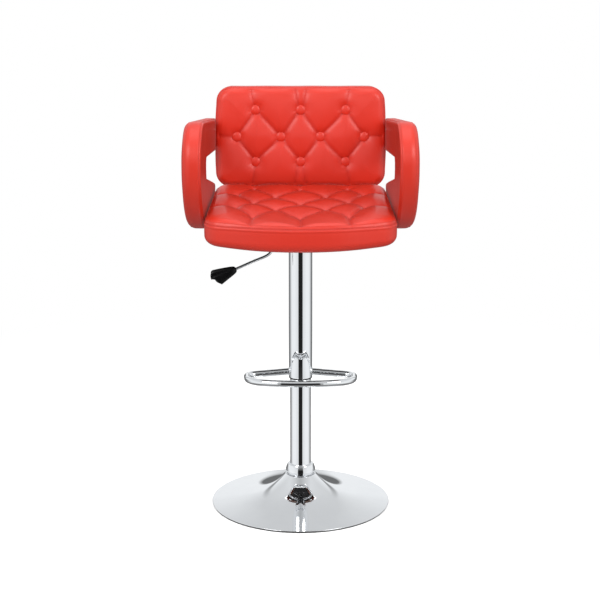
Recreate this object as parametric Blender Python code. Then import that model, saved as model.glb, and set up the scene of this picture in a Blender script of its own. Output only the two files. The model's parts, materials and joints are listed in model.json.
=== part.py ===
"""Adjustable swivel bar stool: spun steel base, gas lift column, footrest, upholstered seat with arms.

Run with: blender --background --python part.py
Lengths below are in millimetres and are turned into metres when a mesh is made.
+Z is up, -Y is the front of the seat, and the origin is on the column's axis at floor level.
"""

import math

import bmesh
import bpy
from mathutils import Matrix, Vector

MM = 0.001
GAP = 0.3                 # clearance between pieces that touch

# Base
BASE_R = 210.0
RIM_Z = 3.3               # underside of the plate's rim, on top of the rubber ring
RIM_TOP_Z = 5.0
BASE_NECK_R = 36.0
BASE_NECK_Z = 73.0
BASE_HOLE_R = 30.0
SHEET = 2.0
RING_R = (200.0, 208.0)
RING_H = 3.0
BALLAST_R = 165.0
BALLAST_STEP_R = 110.0
BALLAST_Z = (3.0, 8.0, 17.0)
FLANGE_R = 60.0
FLANGE_T = 6.0

# Column and gas lift, at full height
COLUMN_R = (21.5, 24.5)
COLUMN_TOP = 385.0
COLLAR_R = 35.5
COLLAR_TOP = 99.0
SLEEVE_R = (26.2, 27.4)   # upper tube, which slides down over the column
SLEEVE_BOTTOM = 315.0
CYLINDER_R = (12.4, 14.0)
CYLINDER_Z = (255.0, 648.0)
ROD_R = 5.0
ROD_Z = (20.0, 275.0)
END_PLATE_Z = (30.0, 34.0)
PIN_R = 2.0
PIN_TOP = 651.8

# Footrest: one bent bar welded to the upper tube; plan corners are (x, y, bend radius)
FOOT_BAR_R = 8.0
FOOT_Z = 327.0
FOOT_RISE = 8.6           # the front of the loop stands this much higher than its welds
FOOT_DIP = 7.5            # and its side corners this much lower
FOOT_HALF = [(SLEEVE_R[1] + 0.5, -2.0, 0.0), (126.0, -9.0, 22.0), (121.0, -98.0, 62.0), (0.0, -131.0, 270.0)]

# Seat mechanism and lever
BOX_X = (-36.0, 30.0)
BOX_Y = 27.0
BOX_Z = (642.0, 672.1)
BOX_WALL = 2.5
PLATE_X, PLATE_Y = 100.0, 80.0
PLATE_Z = (672.4, 675.4)
PLATE_BOLTS = (80.0, 60.0)
PIVOT = Vector((-22.0, 0.0, 656.6))
ROD_LEVER_R = 3.2
LEVER_ROUTE = [(-31.0, 0, 656.6), (-46, -3, 656), (-57, -9, 648), (-65, -16, 630), (-76, -21, 616),
               (-112, -29, 601), (-160, -38.5, 580.5)]
KNOB_START = Vector((-147.0, -36.0, 586.0))
KNOB_HALF_T = 8.0

# Seat: plan corners are (x, y, radius), front at -Y
SEAT_HALF = [(220.0, -164.0, 42.0), (199.3, 176.0, 40.0)]
SEAT_FRONT_APEX = (0.0, -226.0, 520.0)
SEAT_TOP = 737.0
SEAT_BOTTOM = 676.7
SEAT_SAG = 10.0           # the front of the underside hangs this much lower
BOARD_Z = (677.0, 689.0)
BOARD_INSET = 26.5
COVER_Z = (675.7, 676.7)

# Backrest, in its own leaning frame: x across, h up the face, w from front to back
BACK_ORIGIN = Vector((0.0, 180.5, 730.5))
BACK_LEAN = math.radians(8.5)
BACK_H = 234.5
BACK_CORNERS = [(197.5, -3.5, 35.0), (202.0, 118.0, 1400.0), (195.5, BACK_H, 34.0)]
BACK_T = 62.0
BACK_TAPER = 0.062
BACK_BOARD_W = (34.0, 46.0)
BUTTON_R = 10.5
BUTTON_THREE = (-107.0, 0.0, 107.0)
BUTTON_FOUR = (-151.0, -47.0, 47.0, 151.0)
BUTTON_ROWS = [(180.5, BUTTON_THREE), (116.7, BUTTON_FOUR), (57.5, BUTTON_THREE)]

# Arms: a padded C standing on edge, outline corners (y, z, radius), slightly toed out
ARM_T = 44.5
ARM_TOE = math.atan(0.062)
ARM_INNER = Vector((202.0, 198.0, 0.0))    # a point of the inner face
ARM_CORNERS = [(262, 876.4, 12), (-162, 961, 84), (-162, 675.7, 180), (195, 675.7, 22),
               (195, 736, 20), (-22, 801, 6), (-22, 845, 12), (262, 799, 12)]
CORE_INSET = 13.0
CORE_X = (0.8, 31.0)
STUD_Z = 852.0

# Straps that carry the arms from under the seat
STRAP_X = (125.0, 240.0)
STRAP_Y = (72.0, 108.0)
STRAP_SEAT_BOLTS = [(150.0, 90.0)]
STRAP_ARM_BOLTS = [(229.5, 90.0)]

TURN_SEGMENTS = 28


# ---------------------------------------------------------------- helpers

def clear_scene():
    for obj in list(bpy.data.objects):
        bpy.data.objects.remove(obj)


def material(name, color, roughness, metallic):
    mat = bpy.data.materials.new(name)
    mat.use_nodes = True
    shader = mat.node_tree.nodes["Principled BSDF"]
    shader.inputs["Base Color"].default_value = (*color, 1.0)
    shader.inputs["Roughness"].default_value = roughness
    shader.inputs["Metallic"].default_value = metallic
    mat.diffuse_color = (*color, 1.0)
    return mat


def axis_empty(name, at):
    """An empty on a joint's axis, which the pieces of a moving body hang from."""
    empty = bpy.data.objects.new(name, None)
    bpy.context.collection.objects.link(empty)
    empty.location = Vector(at) * MM
    return empty


def finish(name, bm, finish_name, body, smooth=30.0):
    """Turn a bmesh built in millimetres into a named object of one body."""
    bmesh.ops.remove_doubles(bm, verts=bm.verts, dist=0.001)
    bmesh.ops.recalc_face_normals(bm, faces=bm.faces)
    bmesh.ops.scale(bm, vec=(MM, MM, MM), verts=bm.verts)
    mesh = bpy.data.meshes.new(name)
    bm.to_mesh(mesh)
    bm.free()
    mesh.shade_smooth()
    mesh.set_sharp_from_angle(angle=math.radians(smooth))
    mesh.materials.append(FINISHES[finish_name])
    obj = bpy.data.objects.new(name, mesh)
    bpy.context.collection.objects.link(obj)
    hang(obj, body)
    return obj


def hang(obj, body):
    empty = BODIES[body]
    if empty:
        obj.parent = empty
        obj.matrix_parent_inverse = Matrix.Translation(-empty.location)


def cut(obj, bm, operation="DIFFERENCE"):
    """Take the shapes in bm, in millimetres, out of obj, or join them to it."""
    bmesh.ops.recalc_face_normals(bm, faces=bm.faces)
    bmesh.ops.scale(bm, vec=(MM, MM, MM), verts=bm.verts)
    mesh = bpy.data.meshes.new(obj.name + "_cutter")
    bm.to_mesh(mesh)
    bm.free()
    cutter = bpy.data.objects.new(mesh.name, mesh)
    bpy.context.collection.objects.link(cutter)
    cutter.hide_render = True
    cutter.display_type = "WIRE"
    boolean = obj.modifiers.new("cut", "BOOLEAN")
    boolean.operation = operation
    boolean.solver = "EXACT"
    boolean.object = cutter


def lathe(bm, profile, segments=TURN_SEGMENTS, place=None, hollow=True):
    """Turn a profile of (radius, height) round Z; hollow closes the loop, else it runs from axis to axis."""
    place = place or Matrix.Identity(4)
    rings = []
    for radius, height in profile:
        if radius == 0.0:
            rings.append([bm.verts.new(place @ Vector((0, 0, height)))])
            continue
        turn = [2 * math.pi * i / segments for i in range(segments)]
        rings.append([bm.verts.new(place @ Vector((radius * math.cos(a), radius * math.sin(a), height)))
                      for a in turn])
    pairs = list(zip(rings, rings[1:]))
    if hollow:
        pairs.append((rings[-1], rings[0]))
    for low, high in pairs:
        for i in range(segments):
            j = (i + 1) % segments
            corners = [low[i % len(low)], low[j % len(low)], high[j % len(high)], high[i % len(high)]]
            face = list(dict.fromkeys(corners))
            if len(face) > 2:
                bm.faces.new(face)
    return bm


def tube(bm, radii, heights, segments=TURN_SEGMENTS, place=None):
    (r0, r1), (z0, z1) = radii, heights
    return lathe(bm, [(r0, z0), (r1, z0), (r1, z1), (r0, z1)], segments, place)


def rod(bm, radius, heights, segments=16, place=None):
    z0, z1 = heights
    return lathe(bm, [(0, z0), (radius, z0), (radius, z1), (0, z1)], segments, place, hollow=False)


def block(bm, x, y, z):
    """A box between the pairs of limits x, y and z."""
    middle = Vector([(a + b) / 2 for a, b in (x, y, z)])
    size = [b - a for a, b in (x, y, z)]
    bmesh.ops.create_cube(bm, size=1.0, matrix=Matrix.Translation(middle) @ Matrix.Diagonal((*size, 1.0)))
    return bm


def along(start, end):
    """The matrix that lays +Z from start towards end, with the origin at start."""
    turn = (Vector(end) - Vector(start)).to_track_quat("Z", "Y").to_matrix().to_4x4()
    return Matrix.Translation(start) @ turn


def rounded(corners, inset=0.0, steps=3, closed=True):
    """Outline through corners (a, b, radius) with round corners, moved inwards by inset.

    The corners run anticlockwise; a corner's arc keeps its centre when the outline moves inwards.
    """
    count = len(corners)
    points = [Vector(c[:2]) for c in corners]
    outline = []
    for i, (a, b, radius) in enumerate(corners):
        here = points[i]
        if not closed and i in (0, count - 1):
            outline.append(here)
            continue
        before = (here - points[i - 1]).normalized()
        after = (points[(i + 1) % count] - here).normalized()
        turn = before.cross(after)
        half = math.acos(max(-1.0, min(1.0, before.dot(after)))) / 2
        left_before, left_after = Vector((-before.y, before.x)), Vector((-after.y, after.x))
        corner = here + (left_before + left_after).normalized() * inset / math.cos(half)
        radius = max(radius - inset, 1.0) if turn > 0 else radius + inset
        if abs(turn) < 1e-6:
            outline.append(corner)
            continue
        side = 1.0 if turn > 0 else -1.0
        centre = corner + (left_before + left_after).normalized() * side * radius / math.cos(half)
        number = max(steps, round(half * 2 / math.radians(15)))
        for k in range(number + 1):
            angle = -half + 2 * half * k / number
            spoke = -(left_before + left_after).normalized() * side * radius
            spoke.rotate(Matrix.Rotation(angle * side, 2))
            outline.append(centre + spoke)
    return outline


def mirrored(half):
    """Corners of a shape that is the same left and right, from those at +x, running anticlockwise."""
    return half + [(-x, y, r) for x, y, r in reversed(half) if x]


def loft(bm, rings):
    """Skin a list of equal rings of points and close both ends."""
    loops = [[bm.verts.new(p) for p in ring] for ring in rings]
    for low, high in zip(loops, loops[1:]):
        for i in range(len(low)):
            j = (i + 1) % len(low)
            bm.faces.new([low[i], low[j], high[j], high[i]])
    ends = [bm.faces.new(loops[0][::-1]), bm.faces.new(loops[-1])]
    bm.normal_update()
    bmesh.ops.triangulate(bm, faces=ends)
    return bm


def bar_along(name, points, radius, finish_name, body, resolution):
    """A round bar bent along points, as a curve with a round bevel."""
    curve = bpy.data.curves.new(name, "CURVE")
    curve.dimensions = "3D"
    curve.bevel_depth = radius * MM
    curve.bevel_resolution = resolution
    curve.use_fill_caps = True
    spline = curve.splines.new("POLY")
    spline.points.add(len(points) - 1)
    for point, place in zip(spline.points, points):
        point.co = (*(Vector(place) * MM), 1.0)
    curve.materials.append(FINISHES[finish_name])
    obj = bpy.data.objects.new(name, curve)
    bpy.context.collection.objects.link(obj)
    hang(obj, body)
    return obj


def smooth_route(points, per_span=5):
    """Points of a Catmull-Rom curve through the given points."""
    knots = [Vector(p) for p in points]
    knots = [2 * knots[0] - knots[1]] + knots + [2 * knots[-1] - knots[-2]]
    route = []
    for p0, p1, p2, p3 in zip(knots, knots[1:], knots[2:], knots[3:]):
        for k in range(per_span):
            t = k / per_span
            route.append(0.5 * (2 * p1 + (p2 - p0) * t + (2 * p0 - 5 * p1 + 4 * p2 - p3) * t ** 2
                                + (3 * p1 - p0 - 3 * p2 + p3) * t ** 3))
    return route + [knots[-2]]


def screw(bm, at, head_r, head_h, shaft_r, length):
    """A button-head screw pointing up, its head's underside's rim at the given place, with a socket."""
    head = [(0, 1.8), (2.4, 1.8), (2.4, 0), (head_r - 1, 0), (head_r, 1), (head_r, head_h)]
    shaft = [(shaft_r, head_h), (shaft_r, head_h + length), (0, head_h + length)]
    return lathe(bm, head + shaft, 12, Matrix.Translation(at), hollow=False)


def holes(places, radius, z):
    bm = bmesh.new()
    for x, y in places:
        rod(bm, radius, z, 12, Matrix.Translation((x, y, 0)))
    return bm


def both_sides(places):
    return [(side * x, y) for side in (-1, 1) for x, y in places]


# ---------------------------------------------------------------- base

def trumpet(radius):
    """Height of the base plate's upper face: a shallow cone that sweeps up to the neck."""
    t = (BASE_R - radius) / (BASE_R - BASE_NECK_R)
    return RIM_TOP_Z + (BASE_NECK_Z - RIM_TOP_Z) * (0.42 * t + 0.58 * t ** 4.4)


def make_base():
    steps = 8
    radii = [BASE_NECK_R + (BASE_R - BASE_NECK_R) * (k / steps) ** 1.4 for k in range(steps + 1)]
    outer = [(BASE_HOLE_R, BASE_NECK_Z)] + [(r, trumpet(r)) for r in radii]
    inner = [(r - SHEET, trumpet(r) - SHEET) for r in radii[:-1]]
    rim = [(BASE_R, RIM_Z), (BASE_R - SHEET, RIM_Z), (BASE_R - SHEET, RIM_TOP_Z - 0.6)]
    profile = outer + rim + inner[::-1] + [(BASE_HOLE_R, BASE_NECK_Z - SHEET)]
    finish("base_plate", lathe(bmesh.new(), profile, 40), "chrome", "base")
    finish("floor_ring", tube(bmesh.new(), RING_R, (0, RING_H), 40), "rubber", "base")

    low, mid, high = BALLAST_Z
    steps = [(0, low), (BALLAST_R, low), (BALLAST_R, mid), (BALLAST_STEP_R, mid),
             (BALLAST_STEP_R, high), (0, high)]
    finish("ballast_plate", lathe(bmesh.new(), steps, hollow=False), "iron", "base")


def make_column():
    foot = BALLAST_Z[2] + GAP
    inner, outer = COLUMN_R
    profile = [(inner, foot), (FLANGE_R, foot), (FLANGE_R, foot + FLANGE_T), (outer, foot + FLANGE_T),
               (outer, COLUMN_TOP), (inner, COLUMN_TOP)]
    finish("column_tube", lathe(bmesh.new(), profile), "chrome", "base")
    bore = COLUMN_R[1] + GAP
    collar = [(bore, BASE_NECK_Z + GAP), (COLLAR_R, BASE_NECK_Z + GAP), (COLLAR_R + 0.5, 76),
              (COLLAR_R - 0.5, 84), (32, 95), (bore + 1, COLLAR_TOP), (bore, COLLAR_TOP)]
    finish("column_collar", lathe(bmesh.new(), collar), "chrome", "base")
    slide, hold, lip = CYLINDER_R[1] + GAP, COLUMN_R[0] - GAP, COLUMN_R[1] - GAP
    low, seat, high = COLUMN_TOP - 80, COLUMN_TOP + GAP, COLUMN_TOP + 3
    bush = [(slide, low), (hold, low), (hold, seat), (lip, seat), (lip, high), (slide, high)]
    finish("column_guide_bush", lathe(bmesh.new(), bush, 24), "nylon", "base")
    end_plate = tube(bmesh.new(), (ROD_R + GAP, hold), END_PLATE_Z, 24)
    finish("column_end_plate", end_plate, "steel", "base")


def make_thrust_bearing():
    """Washers and a ring of balls on the end plate, so that the rod turns under the seat's weight."""
    z = END_PLATE_Z[1] + GAP
    ball_r, ring_r, washer_t = 2.0, 10.0, 1.5
    washer_radii, cage_radii = (ROD_R + GAP, 14), (ring_r - 2.6, ring_r + 2.6)
    washer = tube(bmesh.new(), washer_radii, (z, z + washer_t), 24)
    finish("thrust_washer_lower", washer, "steel", "base")
    middle = z + washer_t + GAP + ball_r
    cage = tube(bmesh.new(), cage_radii, (middle - 0.8, middle + 0.8), 24)
    cage = finish("thrust_ball_cage", cage, "steel", "base")
    balls = bmesh.new()
    for k in range(8):
        turn = Matrix.Rotation(math.radians(45 * k), 4, "Z") @ Matrix.Translation((ring_r, 0, middle))
        bmesh.ops.create_uvsphere(balls, u_segments=6, v_segments=4, radius=ball_r, matrix=turn)
    cut(cage, balls, operation="UNION")
    top = middle + ball_r + GAP
    washer = tube(bmesh.new(), washer_radii, (top, top + washer_t), 24)
    finish("thrust_washer_upper", washer, "steel", "rod")
    buffer_z = (top + washer_t + GAP, top + washer_t + 8)
    finish("rubber_buffer", tube(bmesh.new(), (ROD_R + GAP, 15), buffer_z, 24), "rubber", "rod")


def make_rod():
    low, high = ROD_Z
    clip = (26.0, 27.6)
    neck = ROD_R - 1
    profile = [(0, low), (ROD_R, low), (ROD_R, clip[0]), (neck, clip[0]), (neck, clip[1]), (ROD_R, clip[1]),
               (ROD_R, high), (0, high)]
    finish("piston_rod", lathe(bmesh.new(), profile, 16, hollow=False), "steel", "rod")
    ring = tube(bmesh.new(), (neck + GAP, 8.5), (clip[0] + GAP, clip[1] - GAP), 16)
    finish("retaining_clip", ring, "steel", "rod")
    piston_r = CYLINDER_R[0] - 0.7
    base = high + GAP
    finish("piston_head", rod(bmesh.new(), piston_r, (base, base + 12), 24), "nylon", "rod")


# ---------------------------------------------------------------- what rises and turns with the seat

def make_gas_cylinder():
    low, high = CYLINDER_Z
    inside = CYLINDER_R[0] - GAP
    finish("gas_cylinder", tube(bmesh.new(), CYLINDER_R, CYLINDER_Z), "black_steel", "seat")
    finish("rod_guide", tube(bmesh.new(), (ROD_R + GAP, inside), (low + 2, low + 17), 24), "nylon", "seat")
    valve = tube(bmesh.new(), (PIN_R + GAP, inside), (high - 36, high - GAP), 16)
    finish("valve_body", valve, "steel", "seat")
    finish("valve_pin", rod(bmesh.new(), PIN_R, (PIN_TOP - 32, PIN_TOP), 12), "steel", "valve")


def make_upper_tube():
    top = BOX_Z[0] - GAP
    finish("upper_tube", tube(bmesh.new(), SLEEVE_R, (SLEEVE_BOTTOM, top)), "chrome", "seat")
    slide, hold = COLUMN_R[1] + GAP, SLEEVE_R[0] - GAP
    lip = SLEEVE_BOTTOM - GAP
    rim, depth = 3, 30
    bush = [(slide, lip - rim), (SLEEVE_R[1], lip - rim), (SLEEVE_R[1], lip), (hold, lip),
            (hold, lip + depth), (slide, lip + depth)]
    finish("upper_tube_bush", lathe(bmesh.new(), bush, 24), "black_plastic", "seat")
    finish("taper_socket", tube(bmesh.new(), (CYLINDER_R[1] + GAP, 21), (595, top), 24), "steel", "seat")


def make_footrest():
    half = [(-x, y, r) for x, y, r in FOOT_HALF]
    corners = half + [(-x, y, r) for x, y, r in reversed(half[:-1])]
    front = half[-1][1]
    reach = half[1][0] - half[0][0]

    def height(x, y):
        aside = min(max((abs(x) + half[0][0]) / -reach, 0), 1)
        return FOOT_Z + FOOT_RISE * y / front - FOOT_DIP * aside * (1 - y / front)
    route = [(x, y, height(x, y)) for x, y in rounded(corners, steps=5, closed=False)]
    bar_along("footrest_ring", route, FOOT_BAR_R, "chrome", "seat", 3)


def make_mechanism():
    box = finish("mechanism_box", block(bmesh.new(), BOX_X, (-BOX_Y, BOX_Y), BOX_Z), "black_steel", "seat")
    (x0, x1), y1, (z0, z1), wall = BOX_X, BOX_Y, BOX_Z, BOX_WALL
    cut(box, block(bmesh.new(), (x0 + wall, x1 - wall), (wall - y1, y1 - wall), (z0 + wall, z1 + 5)))
    cut(box, block(bmesh.new(), (x0 - 5, x0 + 5), (-9, 9), (z0 + 5, z1 - 4)))
    cut(box, rod(bmesh.new(), CYLINDER_R[1] + GAP, (z0 - 5, z0 + 5), 24))
    pin_low, pin_high = PIVOT + Vector((0, -y1 - 5, 0)), PIVOT + Vector((0, y1 + 5, 0))
    cut(box, rod(bmesh.new(), 2.8, (0, 2 * y1 + 10), 12, along(pin_low, pin_high)))
    pin = rod(bmesh.new(), 2.5, (3, 2 * y1 + 7), 12, along(pin_low, pin_high))
    finish("lever_pivot_pin", pin, "zinc", "seat")

    corners = mirrored([(PLATE_X, -PLATE_Y, 15.0), (PLATE_X, PLATE_Y, 15.0)])
    rings = [[(x, y, z) for x, y in rounded(corners)] for z in PLATE_Z]
    plate = finish("seat_plate", loft(bmesh.new(), rings), "black_steel", "seat")
    cut(plate, holes(plate_bolt_places(), 4.4, (PLATE_Z[0] - 1, PLATE_Z[1] + 1)))
    for number, (x, y) in enumerate(plate_bolt_places(), 1):
        make_bolt(f"plate_bolt_{number}", x, y, 15)


def make_bolt(name, x, y, length):
    """A bolt that comes up through the mounting plates under the seat."""
    head_h = 4.5
    bolt = screw(bmesh.new(), (x, y, PLATE_Z[0] - GAP - head_h), 7, head_h, 3.9, length)
    finish(name, bolt, "zinc", "seat")


def plate_bolt_places():
    x, y = PLATE_BOLTS
    return both_sides([(x, -y), (x, y)])


def make_lever():
    tongue = block(bmesh.new(), (-30, 6), (-6, 6), (PIVOT.z - 4, PIVOT.z + 4))
    tongue = finish("lever_tongue", tongue, "black_steel", "lever")
    hole = along(PIVOT + Vector((0, -9, 0)), PIVOT + Vector((0, 9, 0)))
    cut(tongue, rod(bmesh.new(), 2.8, (0, 18), 12, hole))
    route = smooth_route(LEVER_ROUTE)
    bar_along("lever_rod", route, ROD_LEVER_R, "chrome", "lever", 2)

    way = (Vector(LEVER_ROUTE[-1]) - Vector(LEVER_ROUTE[-2])).normalized()
    face = Vector((0.15, -1, 0.25))
    face = (face - way * face.dot(way)).normalized()
    across = face.cross(way)
    corners = [(-2, -8.5, 3), (50, -26, 9), (60, 0, 60), (50, 26, 9), (-2, 8.5, 3)]
    levels = [(-KNOB_HALF_T, 4), (-KNOB_HALF_T + 4, 0), (KNOB_HALF_T - 4, 0), (KNOB_HALF_T, 4)]
    rings = [[KNOB_START + way * u + across * v + face * w for u, v in rounded(corners, inset)]
             for w, inset in levels]
    knob = finish("lever_knob", loft(bmesh.new(), rings), "black_plastic", "lever")
    end = Vector(LEVER_ROUTE[-1]) + way * 0.6
    cut(knob, rod(bmesh.new(), ROD_LEVER_R + 0.5, (0, 30), 12, along(end - way * 30, end)))


# ---------------------------------------------------------------- upholstery

def seat_outline(inset):
    corners = SEAT_HALF + [(-x, y, r) for x, y, r in reversed(SEAT_HALF)] + [SEAT_FRONT_APEX]
    return rounded(corners, inset)


def seat_bolt_places():
    return plate_bolt_places() + both_sides(STRAP_SEAT_BOLTS)


def make_seat():
    def sag(x, y):
        forward = min(max((-60 - y) / 140, 0), 1)
        return SEAT_SAG * forward * (1 - (x / 230) ** 4)

    # height, inset, and the share of the sag that the level takes
    levels = [(SEAT_BOTTOM, 19, 1), (SEAT_BOTTOM + 9, 5, 0.8), (SEAT_BOTTOM + 24, 0, 0),
              (SEAT_TOP - 15, 0, 0), (SEAT_TOP - 7, 3, 0), (SEAT_TOP - 2, 12, 0), (SEAT_TOP, 30, 0)]
    rings = [[(x, y, z - share * sag(x, y)) for x, y in seat_outline(inset)] for z, inset, share in levels]
    cushion = finish("seat_cushion", loft(bmesh.new(), rings), "leather", "seat", 60)
    pocket = [[(x, y, z) for x, y in seat_outline(BOARD_INSET - 0.5)] for z in (650, BOARD_Z[1] + 2.2)]
    cut(cushion, loft(bmesh.new(), pocket))

    board = [[(x, y, z) for x, y in seat_outline(BOARD_INSET)] for z in BOARD_Z]
    board = finish("seat_board", loft(bmesh.new(), board), "plywood", "seat")
    cut(board, holes(seat_bolt_places(), 4.3, (BOARD_Z[0] - 1, BOARD_Z[1] + 1)))
    cover = [[(x, y, z) for x, y in seat_outline(BOARD_INSET)] for z in (COVER_Z[0], COVER_Z[1])]
    cover = finish("seat_under_cover", loft(bmesh.new(), cover), "cover_cloth", "seat")
    cut(cover, holes(seat_bolt_places(), 5.0, (COVER_Z[0] - 1, COVER_Z[1] + 1)))


def back_point(x, h, w):
    """A point of the backrest's leaning frame; its sides close in towards the rear, along the arms."""
    narrow = 1 - BACK_TAPER * w / BACK_CORNERS[1][0]
    up = Vector((0, math.sin(BACK_LEAN), math.cos(BACK_LEAN)))
    rear = Vector((0, math.cos(BACK_LEAN), -math.sin(BACK_LEAN)))
    return BACK_ORIGIN + Vector((x * narrow, 0, 0)) + up * h + rear * w


def back_rings(levels):
    outline = mirrored(BACK_CORNERS)
    return [[back_point(x, h, w) for x, h in rounded(outline, inset)] for w, inset in levels]


def make_backrest():
    levels = [(0, 14), (3, 5), (12, 0), (50, 0), (58, 3), (BACK_T, 10)]
    cushion = finish("backrest_cushion", loft(bmesh.new(), back_rings(levels)), "leather", "seat", 60)
    panel_w, inset = (BACK_BOARD_W[1] + GAP, BACK_T), 16.5
    rebate = [(BACK_BOARD_W[0] - GAP, inset - 0.5), (BACK_T + 10, inset - 0.5)]
    cut(cushion, loft(bmesh.new(), back_rings(rebate)))
    cut(cushion, studs(4.6))
    pockets = bmesh.new()
    dome = [(0, 0.6), (BUTTON_R * 0.6, 1.4), (BUTTON_R, 4), (BUTTON_R, 7.6), (0, 7.6)]
    spots = [(x, h) for h, row in BUTTON_ROWS for x in row]
    for number, (x, h) in enumerate(spots, 1):
        front, inner = back_point(x, h, -6), back_point(x, h, 8)
        rod(pockets, BUTTON_R + 0.8, (0, (inner - front).length), 10, along(front, inner))
        place = along(back_point(x, h, 0), inner)
        button = lathe(bmesh.new(), dome, 10, place, hollow=False)
        finish(f"backrest_button_{number}", button, "leather", "seat", 60)
    cut(cushion, pockets)

    board = loft(bmesh.new(), back_rings([(w, inset) for w in BACK_BOARD_W]))
    board = finish("backrest_board", board, "plywood", "seat")
    cut(board, studs(4.4))
    panel = loft(bmesh.new(), back_rings([(w, inset) for w in panel_w]))
    finish("backrest_rear_panel", panel, "leather", "seat")


def arm_matrix(side):
    """Places an arm's own frame: x outwards from its inner face, y and z as the stool's."""
    turn = Matrix.Rotation(ARM_TOE * side, 4, "Z")
    mirror = Matrix.Diagonal((side, 1, 1, 1))
    at = Vector((ARM_INNER.x * side, ARM_INNER.y, 0))
    return Matrix.Translation(at) @ turn @ mirror @ Matrix.Translation((0, -ARM_INNER.y, 0))


def arm_rings(side, levels):
    place = arm_matrix(side)
    return [[place @ Vector((x, y, z)) for y, z in rounded(ARM_CORNERS, inset)] for x, inset in levels]


def stud_ends(side):
    """Where a stud starts in the arm's core and ends in the backrest's board."""
    board_w, z = sum(BACK_BOARD_W) / 2, STUD_Z
    h = (z - BACK_ORIGIN.z + board_w * math.sin(BACK_LEAN)) / math.cos(BACK_LEAN)
    y = back_point(0, h, board_w).y
    place = arm_matrix(side)
    return place @ Vector((28, y, z)), place @ Vector((-44, y, z))


def studs(radius, extra=0.5, sides=(-1, 1)):
    bm = bmesh.new()
    for side in sides:
        start, end = stud_ends(side)
        rod(bm, radius, (-extra, (end - start).length + extra), 12, along(start, end))
    return bm


def make_arms():
    core_floor = min(z for y, z, r in ARM_CORNERS) + CORE_INSET
    for side, name in ((-1, "left"), (1, "right")):
        pocket = CORE_INSET - GAP
        levels = [(CORE_X[1] + GAP, pocket), (0.5, pocket), (0, 9), (2.6, 2.6), (9, 0), (ARM_T - 9, 0),
                  (ARM_T - 2.6, 2.6), (ARM_T, 9)]
        arm = finish("arm_" + name, loft(bmesh.new(), arm_rings(side, levels)), "leather", "seat", 60)
        arm_bolts = [(side * x, y) for x, y in STRAP_ARM_BOLTS]
        cut(arm, holes(arm_bolts, 4.6, (665, core_floor + 4)))
        core = loft(bmesh.new(), arm_rings(side, [(x, CORE_INSET) for x in CORE_X]))
        core = finish("arm_core_" + name, core, "plywood", "seat")
        cut(core, studs(4.4, 2))
        cut(core, holes(arm_bolts, 4.3, (core_floor - 1, core_floor + 18)))

        x = sorted(side * v for v in STRAP_X)
        strap = finish("arm_strap_" + name, block(bmesh.new(), x, STRAP_Y, PLATE_Z), "black_steel", "seat")
        seat_bolts = [(side * x, y) for x, y in STRAP_SEAT_BOLTS]
        cut(strap, holes(seat_bolts + arm_bolts, 4.4, (PLATE_Z[0] - 1, PLATE_Z[1] + 1)))
        make_bolt("strap_seat_bolt_" + name, *seat_bolts[0], 15)
        make_bolt("strap_arm_bolt_" + name, *arm_bolts[0], 28)
        finish("backrest_stud_" + name, studs(4.0, 0, [side]), "zinc", "seat")


# ---------------------------------------------------------------- build

clear_scene()
FINISHES = {name: material(name, *look) for name, look in {
    "chrome": ((0.78, 0.79, 0.80), 0.06, 1.0),
    "steel": ((0.55, 0.55, 0.56), 0.35, 1.0),
    "black_steel": ((0.03, 0.03, 0.03), 0.45, 0.0),
    "zinc": ((0.62, 0.63, 0.64), 0.4, 1.0),
    "iron": ((0.12, 0.12, 0.12), 0.7, 0.0),
    "rubber": ((0.02, 0.02, 0.02), 0.8, 0.0),
    "nylon": ((0.75, 0.74, 0.70), 0.5, 0.0),
    "black_plastic": ((0.015, 0.015, 0.016), 0.3, 0.0),
    "leather": ((0.72, 0.03, 0.02), 0.4, 0.0),
    "plywood": ((0.62, 0.45, 0.27), 0.7, 0.0),
    "cover_cloth": ((0.02, 0.02, 0.02), 0.95, 0.0),
}.items()}
BODIES = {"base": None}
BODIES["rod"] = axis_empty("swivel_axis", (0, 0, 0))
BODIES["seat"] = axis_empty("lift_axis", (0, 0, 0))
BODIES["valve"] = axis_empty("valve_axis", (0, 0, 0))
BODIES["lever"] = axis_empty("lever_axis", PIVOT)

make_base()
make_column()
make_thrust_bearing()
make_rod()
make_gas_cylinder()
make_upper_tube()
make_footrest()
make_mechanism()
make_lever()
make_seat()
make_backrest()
make_arms()
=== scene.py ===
import json
import math

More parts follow.
